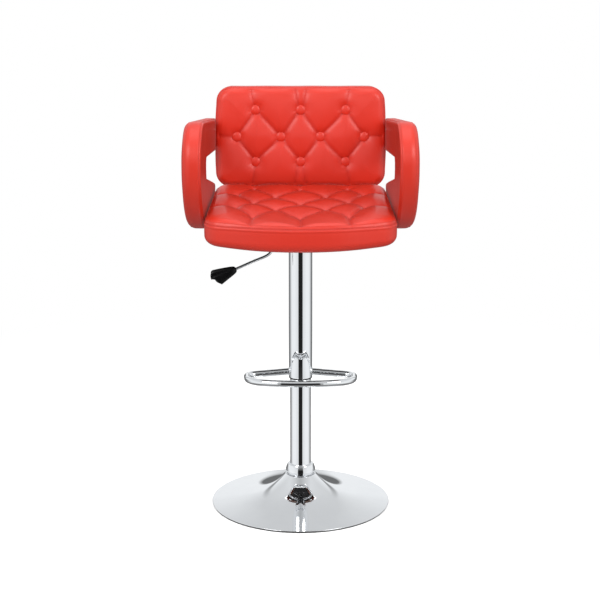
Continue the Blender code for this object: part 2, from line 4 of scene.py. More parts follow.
import bpy
import bmesh
import numpy as np
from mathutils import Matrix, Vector

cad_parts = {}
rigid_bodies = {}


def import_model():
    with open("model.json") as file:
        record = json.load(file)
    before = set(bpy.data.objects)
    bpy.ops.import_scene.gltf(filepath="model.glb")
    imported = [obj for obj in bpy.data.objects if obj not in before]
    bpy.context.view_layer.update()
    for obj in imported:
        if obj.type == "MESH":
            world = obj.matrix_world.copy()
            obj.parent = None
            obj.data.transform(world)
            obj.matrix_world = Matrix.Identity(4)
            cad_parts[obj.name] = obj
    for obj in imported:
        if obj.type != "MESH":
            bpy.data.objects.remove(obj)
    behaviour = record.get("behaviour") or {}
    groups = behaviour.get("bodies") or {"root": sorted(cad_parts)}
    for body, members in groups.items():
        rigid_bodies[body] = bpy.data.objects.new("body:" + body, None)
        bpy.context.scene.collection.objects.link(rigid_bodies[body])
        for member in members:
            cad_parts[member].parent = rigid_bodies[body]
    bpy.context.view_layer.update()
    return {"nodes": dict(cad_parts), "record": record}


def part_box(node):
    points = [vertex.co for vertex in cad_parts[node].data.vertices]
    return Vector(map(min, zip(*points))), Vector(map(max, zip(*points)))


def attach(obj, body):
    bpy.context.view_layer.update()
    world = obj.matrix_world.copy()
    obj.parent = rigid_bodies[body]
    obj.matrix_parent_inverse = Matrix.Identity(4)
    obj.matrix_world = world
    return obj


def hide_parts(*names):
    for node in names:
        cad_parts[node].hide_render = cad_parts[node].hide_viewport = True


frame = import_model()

mm = 0.001
print("frame loaded:", len(frame["nodes"]), "nodes")


# ---- camera, floor and light

stage = {
    "cameraPlace": (0.0, -5.928, 2.2637),
    "cameraPitch": 16.558,       # degrees below the horizon
    "focalLength": 158.85,
    "shiftX": -0.0009,
    "floorSize": 60.0,
    "nearFloor": 0.45,           # the floor takes shadows inside this radius and is plain white past the next
    "farFloor": 1.6,
    "floorGlow": (0.30, 0.30, 0.30),
    "farFloorLight": (0.35, 0.35, 0.35),
    "roomColor": (0.82, 0.82, 0.82),
    # what mirrors see, as brightness by the angle from the camera's side in degrees: rays that point
    # below the horizon, just above it, and steeply up
    "lowLevels": [(0, 0.015), (19.0, 0.02), (23.0, 0.82), (60, 0.98), (95, 0.95), (112, 0.62), (128, 0.22),
                  (180, 0.16)],
    "wallLevels": [(0, 0.012), (19.0, 0.015), (23.0, 0.82), (60, 0.95), (148, 0.92), (152, 0.30), (155, 0.30),
                   (159, 0.94)],
    "skyLevels": [(0, 0.50), (35, 0.60), (90, 0.80), (180, 0.66)],
    "underfoot": (0.22, 0.22, 0.22),
}

camera = bpy.data.objects.new("camera", bpy.data.cameras.new("camera"))
bpy.context.collection.objects.link(camera)
camera.location = stage["cameraPlace"]
camera.rotation_euler = (math.radians(90 - stage["cameraPitch"]), 0, 0)
camera.data.lens = stage["focalLength"]
camera.data.shift_x = stage["shiftX"]
camera.data.clip_end = 200
bpy.context.scene.camera = camera
bpy.context.scene.view_settings.view_transform = "Standard"


# ---- shader arithmetic

class Wire:
    # one output socket; arithmetic on it adds Math nodes

    def __init__(self, net, socket):
        self.net = net
        self.socket = socket

    def __add__(self, other):
        return self.net.maths("ADD", self, other)

    def __radd__(self, other):
        return self.net.maths("ADD", other, self)

    def __sub__(self, other):
        return self.net.maths("SUBTRACT", self, other)

    def __mul__(self, other):
        return self.net.maths("MULTIPLY", self, other)

    def __rmul__(self, other):
        return self.net.maths("MULTIPLY", other, self)

    def __truediv__(self, other):
        return self.net.maths("DIVIDE", self, other)


class Net:
    # a node tree that nodes are added to, left to right

    def __init__(self, tree):
        self.tree = tree
        tree.nodes.clear()

    def add(self, kind, settings=None, sockets=None, output=0):
        made = self.tree.nodes.new(kind)
        for name, value in (settings or {}).items():
            if name == "stops":
                while len(made.color_ramp.elements) < len(value):
                    made.color_ramp.elements.new(1.0)
                for stop, (place, color) in zip(made.color_ramp.elements, value):
                    stop.position = place
                    stop.color = (*color, 1.0)
            else:
                setattr(made, name, value)
        for name, value in (sockets or {}).items():
            if isinstance(value, Wire):
                self.tree.links.new(value.socket, made.inputs[name])
            else:
                made.inputs[name].default_value = value
        return Wire(self, made.outputs[output]) if len(made.outputs) else None

    def maths(self, operation, a, b=0.0, clamp=False):
        return self.add("ShaderNodeMath", {"operation": operation, "use_clamp": clamp}, {0: a, 1: b})

    def blendColor(self, factor, a, b):
        return self.add("ShaderNodeMix", {"data_type": "RGBA"}, {0: factor, 6: a, 7: b}, 2)

    def noise(self, scale, detail=3.0, vector=None, roughness=0.5):
        sockets = {"Scale": scale, "Detail": detail, "Roughness": roughness}
        sockets["Vector"] = vector or self.place()
        return self.add("ShaderNodeTexNoise", None, sockets)

    def place(self):
        return self.add("ShaderNodeTexCoord", None, None, 3)

    def bump(self, height, strength, distance, normal=None):
        sockets = {"Height": height, "Strength": strength, "Distance": distance}
        if normal:
            sockets["Normal"] = normal
        return self.add("ShaderNodeBump", None, sockets)


def rgba(color, factor=1.0):
    return (*[min(c * factor, 1.0) for c in color], 1.0)


def finishOf(name):
    made = bpy.data.materials.new(name)
    made.use_nodes = True
    return made, Net(made.node_tree)


def closeNet(net, sockets):
    shader = net.add("ShaderNodeBsdfPrincipled", None, sockets)
    net.add("ShaderNodeOutputMaterial", None, {"Surface": shader})


leatherLook = {
    "red": (0.64, 0.027, 0.0115),
    # the darker red that the painted shade in creases and seams blends towards
    "creaseShadeRed": (0.40, 0.008, 0.004),
    "grainSize": 1.3,            # millimetres between pebbles
    "roughness": 0.36,
}


def makeLeather():
    made, net = finishOf("redLeather")
    place = net.place()
    warp = net.noise(140.0, 2.0, place)
    pebbles = net.add("ShaderNodeTexVoronoi", {"feature": "SMOOTH_F1"},
                      {"Vector": place, "Scale": 1000.0 / leatherLook["grainSize"], "Smoothness": 0.6})
    fine = net.noise(2600.0, 2.0, place)
    broad = net.noise(9.0, 2.0, place)
    patch = net.noise(38.0, 3.0, place)
    # the fold attribute is painted shade along creases, along seams and round the buttons; it darkens the red
    fold = net.add("ShaderNodeAttribute", {"attribute_name": "fold"}, None, 2)
    red = net.blendColor(broad, rgba(leatherLook["red"], 0.95), rgba(leatherLook["red"], 1.06))
    red = net.blendColor(net.maths("MULTIPLY", patch, 0.16), red, rgba(leatherLook["red"], 0.84))
    red = net.blendColor(net.maths("MULTIPLY", pebbles, 0.12), red, rgba(leatherLook["red"], 0.8))
    red = net.blendColor(net.maths("MULTIPLY", fold, 0.85, True), red, rgba(leatherLook["creaseShadeRed"]))
    rough = leatherLook["roughness"] + (patch - 0.5) * 0.12 + pebbles * 0.08 + fold * 0.1
    normal = net.bump(pebbles * 0.7 + fine * 0.2 + warp * 0.3, 0.16, 0.0004)
    normal = net.bump(patch, 0.10, 0.0016, normal)
    closeNet(net, {"Base Color": red, "Roughness": rough, "Normal": normal, "Specular IOR Level": 0.5,
                   "Coat Weight": 0.10, "Coat Roughness": 0.28})
    return made


def makeThread():
    made, net = finishOf("redThread")
    twist = net.add("ShaderNodeTexWave", {"bands_direction": "DIAGONAL"},
                    {"Vector": net.place(), "Scale": 900.0})
    color = net.blendColor(twist, rgba(leatherLook["red"], 0.8), rgba(leatherLook["red"], 1.15))
    normal = net.bump(twist, 0.4, 0.0002)
    closeNet(net, {"Base Color": color, "Roughness": 0.5 + twist * 0.15, "Normal": normal})
    return made


def makeChrome():
    made, net = finishOf("chromePlate")
    haze = net.noise(26.0, 4.0)
    specks = net.noise(900.0, 1.0)
    color = net.blendColor(haze, (0.84, 0.85, 0.87, 1), (0.90, 0.91, 0.92, 1))
    normal = net.bump(haze, 0.02, 0.0006)
    closeNet(net, {"Base Color": color, "Metallic": 1.0, "Roughness": 0.025 + haze * 0.03 + specks * 0.015,
                   "Normal": normal})
    return made


def makePlastic(name, color, rough, moulded=420.0, shine=0.5):
    made, net = finishOf(name)
    pits = net.noise(moulded, 3.0)
    marks = net.noise(60.0, 4.0)
    shade = net.blendColor(marks, rgba(color, 0.85), rgba(color, 1.25))
    normal = net.bump(pits, 0.12, 0.0003)
    closeNet(net, {"Base Color": shade, "Roughness": rough + (marks - 0.5) * 0.14, "Normal": normal,
                   "Specular IOR Level": shine})
    return made


def makeMetal(name, color, rough, grainWay=(1.0, 1.0, 30.0), metallic=1.0):
    made, net = finishOf(name)
    stretched = net.add("ShaderNodeMapping", None, {"Vector": net.place(), "Scale": grainWay})
    lines = net.noise(220.0, 3.0, stretched)
    stains = net.noise(24.0, 4.0)
    shade = net.blendColor(stains, rgba(color, 0.82), rgba(color, 1.12))
    normal = net.bump(lines, 0.15, 0.0002)
    closeNet(net, {"Base Color": shade, "Metallic": metallic, "Normal": normal,
                   "Roughness": rough + (lines - 0.5) * 0.2 + (stains - 0.5) * 0.1})
    return made


def makeCasting():
    made, net = finishOf("rawIron")
    sand = net.noise(700.0, 4.0)
    stains = net.noise(14.0, 5.0)
    shade = net.blendColor(stains, (0.07, 0.07, 0.075, 1), (0.15, 0.14, 0.13, 1))
    closeNet(net, {"Base Color": shade, "Metallic": 0.6, "Roughness": 0.6 + sand * 0.2,
                   "Normal": net.bump(sand, 0.5, 0.0006)})
    return made


def makePlywood():
    made, net = finishOf("birchPlywood")
    stretched = net.add("ShaderNodeMapping", None, {"Vector": net.place(), "Scale": (2.0, 30.0, 30.0)})
    grain = net.noise(8.0, 6.0, stretched, 0.6)
    plies = net.add("ShaderNodeTexWave", {"bands_direction": "Z"}, {"Vector": net.place(), "Scale": 110.0})
    wood = net.blendColor(grain, (0.46, 0.30, 0.16, 1), (0.72, 0.54, 0.34, 1))
    wood = net.blendColor(plies * 0.25, wood, (0.40, 0.26, 0.14, 1))
    closeNet(net, {"Base Color": wood, "Roughness": 0.6 + grain * 0.2,
                   "Normal": net.bump(grain, 0.3, 0.0004)})
    return made


def makeCoverCloth():
    made, net = finishOf("underCloth")
    place = net.place()
    dots = net.add("ShaderNodeTexVoronoi", None, {"Vector": place, "Scale": 420.0})
    fibres = net.noise(1500.0, 4.0, place)
    shade = net.blendColor(fibres, (0.012, 0.012, 0.013, 1), (0.04, 0.04, 0.042, 1))
    closeNet(net, {"Base Color": shade, "Roughness": 0.85 + fibres * 0.1,
                   "Normal": net.bump(dots + fibres * 0.5, 0.5, 0.0005), "Sheen Weight": 0.2})
    return made


finishes = {
    "red_leather": makeLeather(),
    "chrome": makeChrome(),
    "black_plastic": makePlastic("blackPlastic", (0.003, 0.003, 0.0032), 0.3, shine=0.2),
    "rubber": makePlastic("blackRubber", (0.018, 0.018, 0.018), 0.75, 900.0),
    "nylon": makePlastic("naturalNylon", (0.72, 0.70, 0.64), 0.45),
    "steel": makeMetal("turnedSteel", (0.52, 0.52, 0.53), 0.34),
    "zinc": makeMetal("zincPlate", (0.60, 0.61, 0.62), 0.36),
    "black_steel": makeMetal("blackCoat", (0.022, 0.022, 0.023), 0.42, (1.0, 1.0, 1.0), 0.0),
    "iron": makeCasting(),
    "plywood": makePlywood(),
    "cover_cloth": makeCoverCloth(),
}
threadFinish = makeThread()

slotOf = {row["node"]: row["material_slot"] for row in frame["record"]["subparts"]}
for node, solid in frame["nodes"].items():
    solid.data.materials.clear()
    solid.data.materials.append(finishes[slotOf[node]])
print("finishes made:", len(finishes))


# ---- mesh tools: every sheet is an array of rows x columns x 3, in metres

def unit(v):
    return v / np.linalg.norm(v, axis=-1, keepdims=True)


def sheetFaces(rows, columns, wrap, start):
    # quads between neighbouring rows and columns; wrap joins the last column to the first
    across = columns if wrap else columns - 1
    r, c = np.meshgrid(np.arange(rows - 1), np.arange(across), indexing="ij")
    n = (c + 1) % columns
    quads = np.stack([r * columns + c, r * columns + n, (r + 1) * columns + n, (r + 1) * columns + c], -1)
    return quads.reshape(-1, 4) + start


def makePiece(name, sheets, slotName, body="seat", nodes=(), paintedShade=None, sharp=40.0, finish=None):
    # joins sheets, given as (points, wrap), into one closed mesh; the given painted shade, one number a
    # point, is stored as the fold attribute that darkens the leather
    points, faces, start = [], [], 0
    for sheet, wrap in sheets:
        rows, columns = sheet.shape[:2]
        points.append(sheet.reshape(-1, 3))
        faces.append(sheetFaces(rows, columns, wrap, start))
        start += rows * columns
    mesh = bpy.data.meshes.new(name)
    mesh.from_pydata(np.concatenate(points).tolist(), [], np.concatenate(faces).tolist())
    if paintedShade is not None:
        layer = mesh.attributes.new("fold", "FLOAT", "POINT")
        layer.data.foreach_set("value", np.concatenate([v.ravel() for v in paintedShade]).astype(np.float32))
    work = bmesh.new()
    work.from_mesh(mesh)
    bmesh.ops.remove_doubles(work, verts=work.verts, dist=2e-6)
    bmesh.ops.dissolve_degenerate(work, dist=1e-7, edges=work.edges)
    bmesh.ops.recalc_face_normals(work, faces=work.faces)
    work.to_mesh(mesh)
    work.free()
    mesh.shade_smooth()
    mesh.set_sharp_from_angle(angle=math.radians(sharp))
    piece = bpy.data.objects.new(name, mesh)
    bpy.context.collection.objects.link(piece)
    mesh.materials.append(finish or finishes[slotName])
    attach(piece, body)
    if nodes:
        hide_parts(*nodes)
    return piece


def roundedPath(corners, closed=True, arcStep=5.0):
    # straight sides between corners (a, b, radius), each corner an arc tangent to both sides
    spots = np.array([c[:2] for c in corners], float)
    path = []
    for i, here in enumerate(spots):
        radius = corners[i][2]
        if radius == 0 or (not closed and i in (0, len(corners) - 1)):
            path.append(here[None])
            continue
        before = unit(here - spots[i - 1])
        after = unit(spots[(i + 1) % len(corners)] - here)
        half = math.acos(float(np.clip(before @ after, -1, 1))) / 2
        side = 1.0 if before[0] * after[1] - before[1] * after[0] > 0 else -1.0
        inward = unit(np.array([-before[1] - after[1], before[0] + after[0]]))
        centre = here + inward * side * radius / math.cos(half)
        spoke = -inward * side * radius
        turn = np.linspace(-half, half, max(3, round(math.degrees(half) * 2 / arcStep)) + 1) * side
        path.append(centre + np.stack([spoke[0] * np.cos(turn) - spoke[1] * np.sin(turn),
                                       spoke[0] * np.sin(turn) + spoke[1] * np.cos(turn)], 1))
    return np.concatenate(path)


def spaced(path, count, closer=0.0):
    # points along a path at equal distances, or nearer together at its ends by the share closer
    step = np.linalg.norm(np.diff(path, axis=0), axis=1)
    along = np.concatenate([[0.0], np.cumsum(step)])
    t = np.linspace(0, 1, count)
    want = (t - closer * np.sin(2 * np.pi * t) / (2 * np.pi)) * along[-1]
    return np.stack([np.interp(want, along, path[:, k]) for k in range(path.shape[1])], 1)


def turned(profile, segments):
    # profile of (radius, height) swept round Z: x = r cos a, y = r sin a
    a = np.linspace(0, 2 * np.pi, segments, endpoint=False)
    r, z = profile[:, :1], profile[:, 1:]
    return np.stack([r * np.cos(a), r * np.sin(a), z + 0 * a], -1)


def smoothRoute(knots, perSpan):
    # Catmull-Rom curve through the knots: a cubic in t on each span, with shared tangents
    k = np.array(knots, float)
    k = np.vstack([2 * k[0] - k[1], k, 2 * k[-1] - k[-2]])
    t = np.linspace(0, 1, perSpan, endpoint=False)[:, None]
    spans = [0.5 * (2 * k[i] + (k[i + 1] - k[i - 1]) * t
                    + (2 * k[i - 1] - 5 * k[i] + 4 * k[i + 1] - k[i + 2]) * t ** 2
                    + (3 * k[i] - k[i - 1] - 3 * k[i + 1] + k[i + 2]) * t ** 3) for i in range(1, len(k) - 2)]
    return np.vstack(spans + [k[-2]])


def carried(route, radius, sides, up=(0, 0, 1)):
    # a round section carried along a route
    way = unit(np.gradient(route, axis=0))
    left = unit(np.cross(np.array(up, float), way))
    high = np.cross(way, left)
    a = np.linspace(0, 2 * np.pi, sides, endpoint=False)[None, :, None]
    ring = left[:, None] * np.cos(a) + high[:, None] * np.sin(a)
    return route[:, None] + ring * radius


def cappedBar(route, radius, sides, up=(0, 0, 1)):
    body = carried(route, radius, sides, up)
    lead = np.stack([route[0] + (body[0] - route[0]) * s for s in (0.0, 0.85)])
    tail = np.stack([route[-1] + (body[-1] - route[-1]) * s for s in (0.85, 0.0)])
    edge = 0.12 * radius
    way = unit(np.gradient(route, axis=0))
    lead = lead - way[0] * edge
    tail = tail + way[-1] * edge
    return np.concatenate([lead, body, tail])


def stitchRow(name, path, outward, closed=True):
    # one small capsule a stitch: radius r sqrt(1 - a^4) along a from -1 to 1, laid along the path
    look = stitching
    line = np.vstack([path, path[:1]]) if closed else path
    sides = np.vstack([outward, outward[:1]]) if closed else outward
    length = np.linalg.norm(np.diff(line, axis=0), axis=1)
    along = np.concatenate([[0.0], np.cumsum(length)])
    count = int(along[-1] / look["pitch"])
    want = (np.arange(count) + 0.5) * along[-1] / count
    pick = [np.stack([np.interp(s, along, q[:, k]) for k in range(3)], 1)
            for s, q in ((want, line), (want + 1e-4, line), (want, sides))]
    way = unit(pick[1] - pick[0])
    out = unit(pick[2])
    aside = np.cross(way, out)
    a = np.linspace(-1, 1, 7)
    turn = np.linspace(0, 2 * np.pi, 6, endpoint=False)
    r = look["radius"] * np.sqrt(np.clip(1 - a ** 4, 0, 1))
    sink = look["radius"] * a ** 2
    proud = r[:, None] * np.sin(turn) + look["lift"] - sink[:, None]
    points = (pick[0][:, None, None] + way[:, None, None] * (a * look["length"] / 2)[None, :, None, None]
              + out[:, None, None] * proud[None, :, :, None]
              + aside[:, None, None] * (r[:, None] * np.cos(turn))[None, :, :, None])
    makePiece(name, [(stitch, True) for stitch in points], "red_leather", finish=threadFinish)


# ---- upholstery: tufted pads

def folds(x, y, lines, look):
    # a fold is a V across its line, deepest at its ends: with d the distance to the line and t along it,
    # (mid + (end - mid)(2t - 1)^2)(0.55 e^(-d/narrow) + 0.45 e^(-(d/wide)^2)); folds join as a soft maximum
    total = np.zeros_like(x)
    sharp = np.zeros_like(x)
    for (x0, y0, d0), (x1, y1, d1) in lines:
        dx, dy = x1 - x0, y1 - y0
        t = np.clip(((x - x0) * dx + (y - y0) * dy) / (dx * dx + dy * dy), 0, 1)
        d = np.sqrt((x - x0 - t * dx) ** 2 + (y - y0 - t * dy) ** 2 + 0.5)
        ends = np.where(t < 0.5, d0, d1)
        middle = look["middle"] * min(d0, d1)
        deep = middle + (ends - middle) * (2 * t - 1) ** 2
        total += (deep * (0.55 * np.exp(-d / look["narrow"]) + 0.45 * np.exp(-(d / look["wide"]) ** 2))) ** 4
        # the second result is painted shade: a dark line along each fold, fading within about 3 mm of it
        sharp = np.maximum(sharp, deep / max(d0, d1) * np.exp(-d / 3.0))
    return total ** 0.25, sharp


def dimples(x, y, spots, look):
    # at each pulled-in point a bowl e^(-(b/r)^2), with small gathers cos(n angle) round its rim; the second
    # result is painted shade over the bowl
    total = np.zeros_like(x)
    shadeMask = np.zeros_like(x)
    r = look["bowlRadius"]
    for number, (cx, cy) in enumerate(spots):
        b = np.hypot(x - cx, y - cy)
        turn = np.arctan2(y - cy, x - cx)
        total += look["bowl"] * np.exp(-(b / r) ** 2)
        gather = np.cos(9 * turn + number) * 0.6 + np.cos(14 * turn + 2 * number) * 0.4
        total += look["gather"] * gather * np.exp(-((b - r) / (0.5 * r)) ** 2)
        shadeMask = np.maximum(shadeMask, np.exp(-(b / (0.75 * r)) ** 4))
    return total, shadeMask


def padRing(corners, counts):
    # the outline as a ring of points, starting at the middle of the first corner's arc, and the
    # normals that point into it
    path = roundedPath(corners, arcStep=2.0)
    middle = (path.max(0) + path.min(0)) / 2
    reach = (path - middle) / (path.max(0) - middle)
    ends = [int(np.argmax(reach @ np.array(w, float))) for w in ((1, -1), (1, 1), (-1, 1), (-1, -1))]
    path = np.roll(path, -ends[0], axis=0)
    ends = [(e - ends[0]) % len(path) for e in ends] + [len(path)]
    path = np.vstack([path, path[:1]])
    sides = [spaced(path[ends[k]:ends[k + 1] + 1], counts[k % 2] + 1, 0.5)[:-1] for k in range(4)]
    ring = np.concatenate(sides)
    way = unit(np.roll(ring, -1, axis=0) - np.roll(ring, 1, axis=0))
    return ring, np.stack([-way[:, 1], way[:, 0]], 1)


def spanned(ring, counts):
    # Coons patch: the sum of the two rulings between opposite sides, less the corners' bilinear mean
    ends = np.cumsum([0, counts[0], counts[1], counts[0], counts[1]])
    full = np.vstack([ring, ring[:1]])
    right, rear, left, front = [full[ends[k]:ends[k + 1] + 1] for k in range(4)]
    rear, left = rear[::-1], left[::-1]
    t = np.linspace(0, 1, counts[1] + 1)
    u = (t - 0.5 * np.sin(2 * np.pi * t) / (2 * np.pi))[None, :, None]
    t = np.linspace(0, 1, counts[0] + 1)
    v = (t - 0.5 * np.sin(2 * np.pi * t) / (2 * np.pi))[:, None, None]
    ruled = (1 - v) * front[None] + v * rear[None] + (1 - u) * left[:, None] + u * right[:, None]
    return ruled - ((1 - u) * (1 - v) * front[0] + u * (1 - v) * front[-1]
                    + (1 - u) * v * rear[0] + u * v * rear[-1])


def edgeDistance(grid, ring):
    return np.sqrt(((grid[:, :, None] - ring[None, None]) ** 2).sum(-1)).min(-1)


def seamRelief(s, look):
    # across a twin-needle seam at s = 0: a groove, a soft ridge on each side and a shallow dip past each
    away = np.abs(s)
    return (look["ridge"] * np.exp(-((away - look["ridgeAt"]) / look["ridgeWidth"]) ** 2)
            - look["groove"] * np.exp(-(s / look["grooveWidth"]) ** 2)
            - look["dip"] * np.exp(-((away - look["ridgeAt"] - 4.0) / 2.2) ** 2))


seam = {"ridge": 0.6, "ridgeAt": 4.0, "ridgeWidth": 2.4, "groove": 1.1, "grooveWidth": 0.9, "dip": 0.2}
tightSeam = {"ridge": 0.2, "ridgeAt": 3.2, "ridgeWidth": 1.8, "groove": 0.7, "grooveWidth": 0.8, "dip": 0.0}
seamShade = 0.4
stitching = {"pitch": 4.6 * mm, "length": 3.5 * mm, "radius": 0.42 * mm, "lift": 0.25 * mm}


def seatPlace(x, y, z):
    return np.stack([x, y, z], -1) * mm


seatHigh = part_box("seat_cushion")[1]
seat = {
    "corners": [(220.0, -164.0, 42.0), (199.3, seatHigh.y / mm, 40.0), (-199.3, seatHigh.y / mm, 40.0),
                (-220.0, -164.0, 42.0), (0.0, -226.0, 520.0)],
    "counts": (150, 176),
    "underside": 676.7,
    "top": seatHigh.z / mm,
    "edgeRadius": 16.0,
    "seamAngle": math.radians(12),
    "sag": 10.0,
    "crown": 9.0,
    "crownReach": 30.0,
    "dish": 10.0,                # how far the middle lies below the sides
    "dishHalf": 170.0,
    "rows": [(-113.0, 3), (-34.0, 4), (18.0, 3), (78.0, 4), (141.0, 3)],
    "threes": (-110.0, 0.0, 110.0),
    "fours": (-148.0, -58.0, 58.0, 148.0),
    "folds": {"middle": 0.82, "narrow": 4.5, "wide": 27.0},
    "foldDepth": 13.5,
    "frontCreases": -205.0,      # where the creases from the outer tufts run out
    "rearCreases": 174.0,
    "sideCreases": 207.0,
    "frontCurve": 0.0011,        # the front creases end nearer the tufts towards the sides
    "stitchRows": (2.8, 8.2),    # distance of each row of thread above the seam
}


def diamondLines(rows, threes, fours, depth):
    # folds run from each tuft to its nearest two in the next row
    spots = [[(x, y) for x in (threes if number == 3 else fours)] for y, number in rows]
    lines = []
    for here, there in zip(spots, spots[1:]):
        few, many = (here, there) if len(here) < len(there) else (there, here)
        for k, (x, y) in enumerate(few):
            lines += [((x, y, depth), (*many[k], depth)), ((x, y, depth), (*many[k + 1], depth))]
    return [spot for row in spots for spot in row], lines


def makeSeat():
    ring, inward = padRing(seat["corners"], seat["counts"])
    radius, angle = seat["edgeRadius"], seat["seamAngle"]
    seamInset = radius * (1 - math.cos(angle))
    topZ, low = seat["top"], seat["underside"]

    # the side's profile, from inside the pocket under the seat up to the seam
    corners = [(27, low + 3, 0), (27, low, 2), (0, low, 18), (0, topZ, radius), (60, topZ, 0)]
    path = roundedPath(corners, closed=False, arcStep=4.0)
    rise = path[:, 1] - (topZ - radius)
    past = (rise > radius * math.sin(angle)) & (path[:, 0] > 0)
    path = path[:int(np.argmax(past & (path[:, 1] > low + 30)))]
    path = np.vstack([path, [seamInset, topZ - radius + radius * math.sin(angle)]])
    path = spaced(path, 64)
    way = unit(np.gradient(path, axis=0))
    out = np.stack([-way[:, 1], way[:, 0]], 1)          # towards smaller inset is outwards
    s = np.concatenate([[0], np.cumsum(np.linalg.norm(np.diff(path, axis=0), axis=1))])
    relief = seamRelief(s - s[-1], seam)
    z0 = (path[:, 1] - low) / (topZ - low)
    relief += 1.6 * np.sin(np.pi * np.clip(z0, 0, 1)) - 0.8
    p = path + out * relief[:, None]
    xy = ring[None] + inward[None] * p[:, :1, None]
    hang = np.clip((-60 - xy[..., 1]) / 140, 0, 1) * (1 - (xy[..., 0] / 230) ** 4) * seat["sag"]
    share = np.clip((low + 26 - p[:, 1]) / 26, 0, 1)[:, None]
    share = np.where(path[:, :1] > 26, 0.0, share)
    wave = 0.45 * np.sin(xy[..., 0] / 19 + 1.3 * np.sin(xy[..., 1] / 31)) * np.sin(np.pi * z0)[:, None]
    xy = xy + inward[None] * wave[..., None]
    side = seatPlace(xy[..., 0], xy[..., 1], p[:, 1:] - hang * share)
    # painted shade along the seam on the side
    sideSeamShade = seamShade * np.exp(-((s - s[-1]) / 1.2) ** 2)[:, None] * np.ones(len(ring))

    # the tufted top
    seamRing = ring + inward * (path[-1, 0] + out[-1, 0] * relief[-1])
    grid = spanned(seamRing, seat["counts"])
    x, y = grid[..., 0], grid[..., 1]
    e = edgeDistance(grid, seamRing)
    inset = np.minimum(seamInset + e, radius)
    top = topZ - radius + np.sqrt(np.clip(radius ** 2 - (radius - inset) ** 2, 0, None))
    d = seat["foldDepth"]
    lines = diamondLines(seat["rows"], seat["threes"], seat["fours"], d)[1]
    frontRow, rearRow = seat["rows"][0][0], seat["rows"][-1][0]
    for x0 in seat["threes"]:
        end = seat["frontCreases"] + seat["frontCurve"] * x0 * x0
        lines += [((x0, frontRow, d), (x0 * 1.03, end, 0.9 * d)),
                  ((x0, rearRow, d), (x0, seat["rearCreases"], 0.5 * d))]
    lines += [((edge * seat["fours"][-1], row, d), (edge * seat["sideCreases"], row - 3, 0.5 * d))
              for edge in (-1, 1) for row in (seat["rows"][1][0], seat["rows"][3][0])]
    wobble = 1.2 * np.sin(y / 21 + x / 37), 1.2 * np.sin(x / 23 - y / 41)
    fold, sharp = folds(x + wobble[0], y + wobble[1], lines, seat["folds"])
    fade = 1 - np.exp(-(e / 9) ** 2)
    forward = 1 - 0.6 * np.clip((y - 40) / 130, 0, 1)
    dish = seat["dish"] * forward * np.clip(1 - (x / seat["dishHalf"]) ** 2, 0, None) * (1 - np.exp(-e / 45))
    z = top + seat["crown"] * (1 - np.exp(-e / seat["crownReach"])) - dish - fold * fade
    z += seamRelief(e * 1.3, seam) * np.exp(-(e / 16) ** 4)
    z += 0.35 * np.sin(x / 13 + 2.0 * np.sin(y / 29)) * fade
    z = np.where(e < 1e-6, path[-1, 1] + out[-1, 1] * relief[-1], z)
    topSheet = seatPlace(x, y, z)
    # painted shade on the top: along the fold lines and beside the seam
    topPaintedShade = np.maximum(sharp * 0.8 * fade, seamShade * np.exp(-(e * 1.3 / 1.2) ** 2))

    under = spanned(ring + inward * (path[0, 0] + out[0, 0] * relief[0]), seat["counts"])
    underSheet = seatPlace(under[..., 0], under[..., 1], under[..., 0] * 0 + side[0, :, 2].mean() / mm)
    pad = makePiece("seatPad", [(side, True), (topSheet, False), (underSheet, False)], "red_leather",
                    nodes=["seat_cushion"], paintedShade=[sideSeamShade, topPaintedShade, underSheet[..., 0] * 0], sharp=80)

    # two rows of thread above the seam, on the rounded edge
    for number, away in enumerate(seat["stitchRows"], 1):
        lift = angle + away / radius
        inset = radius * (1 - math.cos(lift))
        e = inset - seamInset
        z = topZ - radius + radius * math.sin(lift) + seat["crown"] * (1 - math.exp(-e / seat["crownReach"]))
        z += float(seamRelief(np.array(e * 1.3), seam)) * math.exp(-(e / 16) ** 4)
        row = ring + inward * inset
        tilt = np.stack([-inward[:, 0] * math.cos(lift), -inward[:, 1] * math.cos(lift),
                         inward[:, 0] * 0 + math.sin(lift)], 1)
        stitchRow(f"seatStitch{number}", seatPlace(row[:, 0], row[:, 1], row[:, 0] * 0 + z), tilt)


makeSeat()
print("seat pad made")


# ---- backrest, in its own leaning frame: x across, h up the face, w from front to back

back = {
    "origin": np.array([0.0, 180.5, 730.5]),
    "lean": math.radians(8.5),
    "taper": 0.062 / 202.0,
    "height": 234.5,
    "low": -3.5,
    "thickness": 62.0,
    "counts": (110, 180),
    "edgeRadius": 16.0,
    "seamAngle": math.radians(30),
    "crown": 9.0,
    "crownReach": 26.0,
    "sideBulge": 3.4,
    "rearSeam": 62.0,            # from the front seam, measured round the boxing
    "rows": [(57.5, 3), (116.7, 4), (180.5, 3)],
    "threes": (-107.0, 0.0, 107.0),
    "fours": (-151.0, -47.0, 47.0, 151.0),
    "folds": {"middle": 0.80, "narrow": 4.5, "wide": 26.0},
    "foldDepth": 11.5,
    "middlePleat": 14.0,         # half the gap between the two creases over and under a middle button
    "deepest": 6.2,
    "tuft": {"bowl": 3.0, "bowlRadius": 14.0, "gather": 0.25},
    "buttonRadius": 11.3,
    "panelInset": 17.0,
}


def backPlace(x, h, w):
    narrow = 1 - back["taper"] * w
    lean = back["lean"]
    at = back["origin"]
    return np.stack([x * narrow, at[1] + h * math.sin(lean) + w * math.cos(lean),
                     at[2] + h * math.cos(lean) - w * math.sin(lean)], -1) * mm


def backCorners():
    half = [(197.5, back["low"], 35.0), (202.0, 118.0, 1400.0), (195.5, back["height"], 34.0)]
    return half + [(-x, h, r) for x, h, r in reversed(half)]


